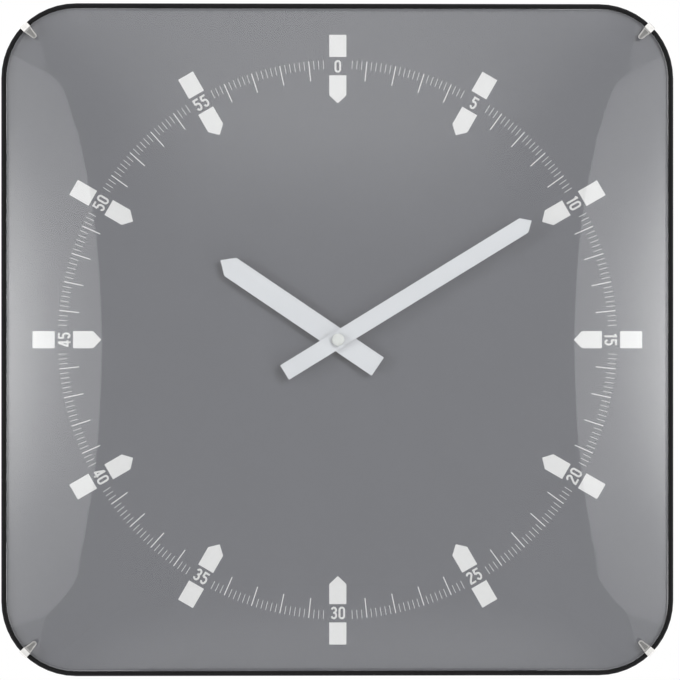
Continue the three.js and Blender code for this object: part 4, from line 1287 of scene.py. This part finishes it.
def add_node(tree, kind, inputs=None, **settings):
    """Adds a shader node with its settings and inputs."""
    node = tree.nodes.new("ShaderNode" + kind)
    for key, value in settings.items():
        setattr(node, key, value)
    set_inputs(tree, node, inputs or {})
    return node


def calculate(tree, operation, first, second=0):
    """What an operation makes of one or two values."""
    return add_node(tree, "Math", {0: first, 1: second}, operation=operation).outputs["Value"]


def times(tree, first, second):
    """The product of two values."""
    return calculate(tree, "MULTIPLY", first, second)


def larger(tree, first, second):
    """The larger of two values."""
    return calculate(tree, "MAXIMUM", first, second)


def ramp(tree, value, start=0, end=1, low=0, high=1, smooth=False):
    """A value that runs from low to high as another runs from start to end."""
    inputs = {"Value": value, "From Min": start, "From Max": end, "To Min": low, "To Max": high}
    kind = "SMOOTHSTEP" if smooth else "LINEAR"
    return add_node(tree, "MapRange", inputs, interpolation_type=kind).outputs["Result"]


def own_place(tree):
    """The place of each spot in the piece's own coordinates."""
    return add_node(tree, "TexCoord").outputs["Object"]


def scaled(tree, place, scale):
    """A place with its parts along X, Y and Z scaled."""
    return add_node(tree, "Mapping", {"Vector": place, "Scale": scale}).outputs["Vector"]


def grain(tree, size, detail=2.0, stretch=None):
    """Noise whose lumps are about a size across, in the piece's own coordinates."""
    place = own_place(tree)
    if stretch:
        place = scaled(tree, place, stretch)
    noise = add_node(tree, "TexNoise", {"Vector": place, "Scale": 1 / size, "Detail": detail})
    return noise.outputs["Fac"]


def between(tree, factor, low, high):
    """A value that runs from low to high as a factor runs over the middle of its range."""
    return ramp(tree, factor, start=0.3, end=0.7, low=low, high=high)


def blend(tree, factor, first, second):
    """A colour that runs from the first to the second, each of which is a colour or a node's output."""
    mix = add_node(tree, "Mix", {"Factor": factor}, data_type="RGBA")
    sockets = [socket for socket in mix.inputs if socket.type == "RGBA"]
    for socket, value in zip(sockets, (first, second)):
        if isinstance(value, bpy.types.NodeSocket):
            tree.links.new(value, socket)
        else:
            socket.default_value = [*value, 1]
    return next(socket for socket in mix.outputs if socket.type == "RGBA")


def mottled(tree, tone, amount, size):
    """A colour that varies a little over the surface."""
    factor = between(tree, grain(tree, size), 0, 1)
    dark = [channel * (1 - amount) for channel in tone]
    light = [min(channel * (1 + amount), 1) for channel in tone]
    return blend(tree, factor, dark, light)


def relief(tree, height, strength, distance):
    """A bump from a height."""
    bump = add_node(tree, "Bump", {"Height": height, "Strength": strength, "Distance": distance})
    return bump.outputs["Normal"]


def mixed(tree, share, first, second):
    """A surface that passes from the first shader to the second as a share goes from 0 to 1."""
    return add_node(tree, "MixShader", {0: share, 1: first.outputs[0], 2: second.outputs[0]})


def show(tree, shader):
    """Makes a shader the surface of its material."""
    tree.links.new(shader.outputs[0], tree.nodes["Material Output"].inputs["Surface"])


# Surface finishes


def start_material(name):
    """A new material with its tree and its main shader."""
    material = bpy.data.materials.new(name)
    material.use_nodes = True
    tree = material.node_tree
    return material, tree, tree.nodes["Principled BSDF"]


def set_surface(tree, shader, tone, roughness, normal, shine=0.5, metallic=0):
    """Sets the colour, roughness, relief and shine of a main shader."""
    inputs = {
        "Base Color": tone,
        "Roughness": roughness,
        "Normal": normal,
        "Specular IOR Level": shine,
        "Metallic": metallic,
    }
    set_inputs(tree, shader, inputs)


def grained_surface(name, tone, stain, gloss, marks, height, detail=2.0, stretch=None, **more):
    """A surface with stains, uneven gloss and fine marks.

    A stain is an amount and a size, and the gloss is two roughnesses and the size of its patches, or two
    alone where it follows the marks. The marks have a size and a strength, and height is how deep they go."""
    material, tree, shader = start_material(name)
    mark_size, strength = marks
    fine = grain(tree, mark_size, detail, stretch)
    smoothest, roughest, *patch_size = gloss
    patches = grain(tree, *patch_size) if patch_size else fine
    roughness = between(tree, patches, smoothest, roughest)
    normal = relief(tree, fine, strength, height)
    set_surface(tree, shader, mottled(tree, tone, *stain), roughness, normal, **more)
    return material


def moulded_plastic(name, tone, roughness, texture, shine=0.35):
    """Moulded plastic: a fine spark-eroded grain, and slow changes in colour and gloss."""
    return grained_surface(
        name,
        tone,
        stain=(0.08, 0.02),
        gloss=(roughness - 0.05, roughness + 0.07, 0.012),
        marks=(0.0005, texture),
        height=0.0002,
        detail=3.0,
        shine=shine,
    )


def soft_rubber(name, tone):
    """Dull rubber with a dusty bloom."""
    return grained_surface(
        name,
        tone,
        stain=(0.25, 0.006),
        gloss=(0.6, 0.8, 0.003),
        marks=(0.0003, 0.2),
        height=0.0001,
        shine=0.15,
    )


def satin_paint(name, tone, roughness):
    """Sprayed satin paint with a fine orange peel."""
    return grained_surface(
        name,
        tone,
        stain=(0.012, 0.03),
        gloss=(roughness - 0.04, roughness + 0.04, 0.01),
        marks=(0.003, 0.02),
        height=0.0001,
        shine=0.25,
    )


def print_ink(name, tone):
    """Screen printed ink with a slightly uneven coat."""
    return grained_surface(
        name,
        tone,
        stain=(0.02, 0.002),
        gloss=(0.5, 0.65, 0.001),
        marks=(0.0003, 0.05),
        height=0.0001,
        shine=0.25,
    )


def plated_metal(name, tone, roughness):
    """Plated sheet: small stains, and fine scratches along one way."""
    return grained_surface(
        name,
        tone,
        stain=(0.06, 0.003),
        gloss=(roughness - 0.08, roughness + 0.1),
        marks=(0.0004, 0.04),
        height=0.0001,
        detail=3.0,
        stretch=(1, 1, 12),
        metallic=1,
    )


def turned_metal(name, tone, roughness):
    """Bare metal with fine tool marks."""
    return grained_surface(
        name,
        tone,
        stain=(0.1, 0.002),
        gloss=(roughness - 0.08, roughness + 0.12),
        marks=(0.0002, 0.06),
        height=0.00005,
        stretch=(1, 20, 1),
        metallic=1,
    )


def clear_glass(name):
    """Clear bent glass, faintly wavy, which lets the light of the lamps through."""
    material, tree, shader = start_material(name)
    waves = relief(tree, grain(tree, size=0.06, detail=0.0), strength=0.02, distance=0.0005)
    set_surface(tree, shader, (1, 1, 1, 1), roughness=0, normal=waves)
    set_inputs(tree, shader, {"IOR": 1.5, "Transmission Weight": 1})
    passing = add_node(tree, "BsdfTransparent", {"Color": (0.96, 0.97, 0.97, 1)})
    ray = add_node(tree, "LightPath")
    lit = larger(tree, ray.outputs["Is Shadow Ray"], ray.outputs["Is Diffuse Ray"])
    show(tree, mixed(tree, lit, shader, passing))
    return material


def wire_winding(name, tone):
    """Fine enamelled wire wound round X, with one ridge for each turn."""
    material, tree, shader = start_material(name)
    wave = {"Vector": own_place(tree), "Scale": 900, "Distortion": 0.6, "Detail": 1.0}
    turns = add_node(tree, "TexWave", wave).outputs["Fac"]
    roughness = between(tree, turns, 0.25, 0.45)
    normal = relief(tree, turns, strength=0.5, distance=0.00005)
    set_surface(tree, shader, mottled(tree, tone, amount=0.15, size=0.001), roughness, normal, metallic=1)
    return material


def lacquered_board(name, finishes):
    """A circuit board whose copper shows through the lacquer as lighter tracks."""
    material, tree, shader = start_material(name)
    cells = {"Vector": own_place(tree), "Scale": 420}
    tracks = add_node(tree, "TexVoronoi", cells, distance="MANHATTAN").outputs["Distance"]
    edges = ramp(tree, tracks, start=0.4, end=0.5)
    track_lightness = 2.2
    lighter = [channel * track_lightness for channel in finishes.board]
    tone = blend(tree, edges, finishes.board, lighter)
    roughness = between(tree, grain(tree, size=0.002), 0.25, 0.4)
    set_surface(tree, shader, tone, roughness, relief(tree, edges, strength=0.2, distance=0.00005))
    return material


def battery_sleeve(name, finishes):
    """Shrink sleeve with a plain light band at the plus end."""
    band_length = 0.0125
    edge_blur = 0.0001
    material, tree, shader = start_material(name)
    across = add_node(tree, "SeparateXYZ", {"Vector": own_place(tree)}).outputs["X"]
    band_start = battery_high.x - band_length
    edge = ramp(tree, across, start=band_start, end=band_start + edge_blur)
    wrap = mottled(tree, finishes.sleeve, amount=0.05, size=0.004)
    band = mottled(tree, finishes.sleeve_band, amount=0.03, size=0.004)
    roughness = between(tree, grain(tree, size=0.004), 0.22, 0.34)
    normal = relief(tree, grain(tree, size=0.002), strength=0.05, distance=0.0001)
    set_surface(tree, shader, blend(tree, edge, wrap, band), roughness, normal)
    return material


# Stage

LAMPS = (
    # Name, place from the middle of the clock, width, height, strength, and whether gloss and glass show it
    ("key_lamp", (0.75, -1.5, 0.46), 0.45, 0.45, 26, False),
    ("side_lamp", (-1.3, -0.75, 0.1), 0.3, 0.4, 16, False),
    ("back_lamp", (-1.2, 1.6, 0.9), 1.2, 1.2, 5, True),
    ("back_fill", (1.5, 1.2, 0.1), 1.0, 1.4, 3, True),
)


def add_lamp(name, place, aim, width, height, strength, mirrored=True):
    """A soft rectangular lamp of even strength."""
    turn = (aim - place).to_track_quat("-Z", "Y").to_euler()
    bpy.ops.object.light_add(type="AREA", location=place, rotation=turn)
    lamp = bpy.context.object
    lamp.name = name
    lamp.data.shape = "RECTANGLE"
    lamp.data.size = width
    lamp.data.size_y = height
    lamp.data.energy = strength * width * height * math.pi
    lamp.visible_camera = False
    lamp.visible_glossy = mirrored
    lamp.visible_transmission = mirrored
    return lamp


def lamp_sides(lamp):
    """The tree of a lamp's surface, and how far across and up each spot of it lies, from 0 to 1."""
    lamp.data.use_nodes = True
    tree = lamp.data.node_tree
    spot = add_node(tree, "NewGeometry").outputs["Parametric"]
    sides = add_node(tree, "SeparateXYZ", {"Vector": spot})
    return tree, sides.outputs["X"], sides.outputs["Y"]


def set_strength(tree, strength):
    """Sets how strongly each spot of a lamp shines."""
    tree.links.new(strength, tree.nodes["Emission"].inputs["Strength"])


def ridge(tree, share, half):
    """One in the middle of the lamp's surface, and falling smoothly to nothing at a share to both sides."""
    offset = calculate(tree, "ABSOLUTE", calculate(tree, "SUBTRACT", share, 0.5))
    return ramp(tree, offset, end=half, low=1, high=0, smooth=True)


def inner_edge(tree, up, height):
    """How far a softbox's inner edge draws in from its straight line, more above the middle than below."""
    slant = 0.1925
    tilt = 0.0345
    let_out = 1.36
    limit = -0.02
    rise = ramp(tree, up, low=-height / 2, high=height / 2)
    tall = calculate(tree, "ABSOLUTE", rise)
    square = times(tree, tall, tall)
    slanted = calculate(tree, "ADD", times(tree, tall, slant), times(tree, rise, tilt))
    bow = calculate(tree, "SUBTRACT", slanted, times(tree, times(tree, square, square), let_out))
    return larger(tree, bow, limit)


def add_softbox(name, side, degrees, middle):
    """A tall softbox beside the camera, brightest halfway up its outer edge, with a bowed inner edge."""
    reach, width, height = 1.524, 0.83, 2.0
    spare = 0.03  # how much further in its panel reaches than its straight line
    edge_blur = 0.006
    end_level, middle_level, middle_half = 0.66, 1.05, 0.3
    rise_outwards = 0.4
    spot_level, spot_half = 5.4, 0.14
    angle = math.radians(degrees)
    outwards = Vector((side * math.cos(angle), math.sin(angle), 0))
    shift = -spare / 2 * outwards
    place = middle + reach * Vector((side * math.sin(angle), -math.cos(angle), 0))
    lamp = add_lamp(name, place + shift, middle + shift, width + spare, height, 1)
    tree, across, up = lamp_sides(lamp)
    near, far = (-spare, width) if side > 0 else (width, -spare)
    reached = ramp(tree, across, low=near, high=far)
    inside = calculate(tree, "SUBTRACT", reached, inner_edge(tree, up, height))
    lit = ramp(tree, inside, start=-edge_blur, end=edge_blur, smooth=True)
    base = ramp(tree, ridge(tree, up, middle_half), low=end_level, high=middle_level)
    level = calculate(tree, "ADD", base, times(tree, reached, rise_outwards))
    spot = times(tree, times(tree, reached, reached), times(tree, ridge(tree, up, spot_half), spot_level))
    set_strength(tree, times(tree, lit, calculate(tree, "ADD", level, spot)))


def add_top_glow(middle):
    """A weak panel over the camera, which fades to its sides and downwards."""
    reach, width, height, strength = 1.5, 1.3, 1.9, 0.8
    angle = math.radians(33)
    fade_height = 0.4
    place = middle + reach * Vector((0, -math.cos(angle), math.sin(angle)))
    lamp = add_lamp("top_glow", place, middle, width, height, strength)
    tree, across, up = lamp_sides(lamp)
    rise = ramp(tree, up, end=fade_height, smooth=True)
    set_strength(tree, times(tree, rise, ridge(tree, across, half=0.5)))


def seen_directly(tree):
    """One for what the camera sees, also in gloss and through glass."""
    ray = add_node(tree, "LightPath")
    mirrored = larger(tree, ray.outputs["Is Glossy Ray"], ray.outputs["Is Transmission Ray"])
    return larger(tree, ray.outputs["Is Camera Ray"], mirrored)


def pale_floor(finishes):
    """A white floor that shows the shadow near the clock, is all white further out, and clear from below."""
    near_glow = 0.55
    shadow_end, white_start = 0.7, 1.5
    material, tree, shader = start_material("floor_white")
    tone = mottled(tree, finishes.floor, amount=0.01, size=0.2)
    roughness = between(tree, grain(tree, size=0.1), 0.7, 0.8)
    set_inputs(tree, shader, {"Base Color": tone, "Roughness": roughness})
    seen = seen_directly(tree)
    glow = add_node(tree, "Emission", {"Strength": times(tree, seen, near_glow)})
    near = add_node(tree, "AddShader", {0: shader.outputs["BSDF"], 1: glow.outputs["Emission"]})
    white = add_node(tree, "Emission", {"Strength": 1.0})
    level = scaled(tree, own_place(tree), (1, 1, 0))
    distance = add_node(tree, "VectorMath", {0: level}, operation="LENGTH").outputs["Value"]
    far = ramp(tree, distance, start=shadow_end, end=white_start, smooth=True)
    upper = mixed(tree, times(tree, far, seen), near, white)
    under = add_node(tree, "NewGeometry").outputs["Backfacing"]
    show(tree, mixed(tree, under, upper, add_node(tree, "BsdfTransparent")))
    return material


def white_world(ambient):
    """A world that is white to the camera, to gloss and through glass, and gives soft light to the rest."""
    world = bpy.data.worlds.new("studio")
    bpy.context.scene.world = world
    world.use_nodes = True
    tree = world.node_tree
    level = ramp(tree, seen_directly(tree), low=ambient)
    set_inputs(tree, tree.nodes["Background"], {"Color": (1, 1, 1, 1), "Strength": level})


def add_camera(middle):
    """The camera, which stands a little to the left and looks a little past the middle."""
    distance = 1.8
    angle = math.radians(-1)
    past_middle = Vector((0.00112, 0, -0.00016))
    aim = middle + past_middle
    place = aim + distance * Vector((math.sin(angle), -math.cos(angle), 0))
    bpy.ops.object.camera_add(location=place, rotation=(math.pi / 2, 0, angle))
    camera = bpy.context.object
    camera.name = "portrait_camera"
    camera.data.sensor_width = 36
    camera.data.lens = 183
    return camera


class WALLCLOCK_OT_stage(bpy.types.Operator):
    """Set up the floor, the lamps, the world and the camera"""

    bl_idname = "wallclock.stage"
    bl_label = "Stage"

    def execute(self, context):
        scene = context.scene
        scene.view_settings.view_transform = "Standard"
        floor_drop = 0.65
        floor_size = 12
        place = (0, 0, tray_low.z - floor_drop)
        bpy.ops.mesh.primitive_grid_add(x_subdivisions=4, y_subdivisions=4, size=floor_size, location=place)
        floor = settle(bpy.context.object)
        floor.name = "floor"
        coat(floor, pale_floor(scene.clock_finishes))
        white_world(ambient=0.1)
        middle = Vector((0, tray_low.y, hands_axis.z))
        add_softbox("left_softbox", -1, 41.5, middle)
        add_softbox("right_softbox", 1, 43.4, middle)
        add_top_glow(middle)
        for name, offset, *settings in LAMPS:
            add_lamp(name, middle + Vector(offset), middle, *settings)
        scene.camera = add_camera(middle)
        return {"FINISHED"}


class WALLCLOCK_PT_pieces(bpy.types.Panel):
    """Lists what can be built"""

    bl_idname = "WALLCLOCK_PT_pieces"
    bl_label = "Wall clock"
    bl_space_type = "VIEW_3D"
    bl_region_type = "UI"
    bl_category = "Wall clock"

    def draw(self, context):
        for operator in OPERATORS:
            self.layout.operator(operator.bl_idname)
        for group in (context.scene.clock_sizes, context.scene.clock_finishes):
            box = self.layout.box()
            for name in group.__annotations__:
                box.prop(group, name)


OPERATORS = (
    WALLCLOCK_OT_case_tray,
    WALLCLOCK_OT_edge_gasket,
    WALLCLOCK_OT_glass_dome,
    WALLCLOCK_OT_dial_sheet,
    WALLCLOCK_OT_hour_marks,
    WALLCLOCK_OT_minute_track,
    WALLCLOCK_OT_numerals,
    WALLCLOCK_OT_glass_clips,
    WALLCLOCK_OT_clip_screws,
    WALLCLOCK_OT_hands,
    WALLCLOCK_OT_hand_cap,
    WALLCLOCK_OT_dial_fixing,
    WALLCLOCK_OT_movement_case,
    WALLCLOCK_OT_setting_knob,
    WALLCLOCK_OT_battery,
    WALLCLOCK_OT_works,
    WALLCLOCK_OT_stage,
)
CLASSES = (ClockSizes, ClockFinishes, *OPERATORS, WALLCLOCK_PT_pieces)


def register():
    """Adds the classes and the clock's settings to Blender."""
    for entry in CLASSES:
        bpy.utils.register_class(entry)
    bpy.types.Scene.clock_sizes = PointerProperty(type=ClockSizes)
    bpy.types.Scene.clock_finishes = PointerProperty(type=ClockFinishes)


def unregister():
    """Takes the settings and the classes out again."""
    del bpy.types.Scene.clock_finishes
    del bpy.types.Scene.clock_sizes
    for entry in reversed(CLASSES):
        bpy.utils.unregister_class(entry)


def main():
    """Builds everything in order."""
    register()
    for operator in OPERATORS:
        group, name = operator.bl_idname.split(".")
        getattr(getattr(bpy.ops, group), name)()


if __name__ == "__main__":
    main()
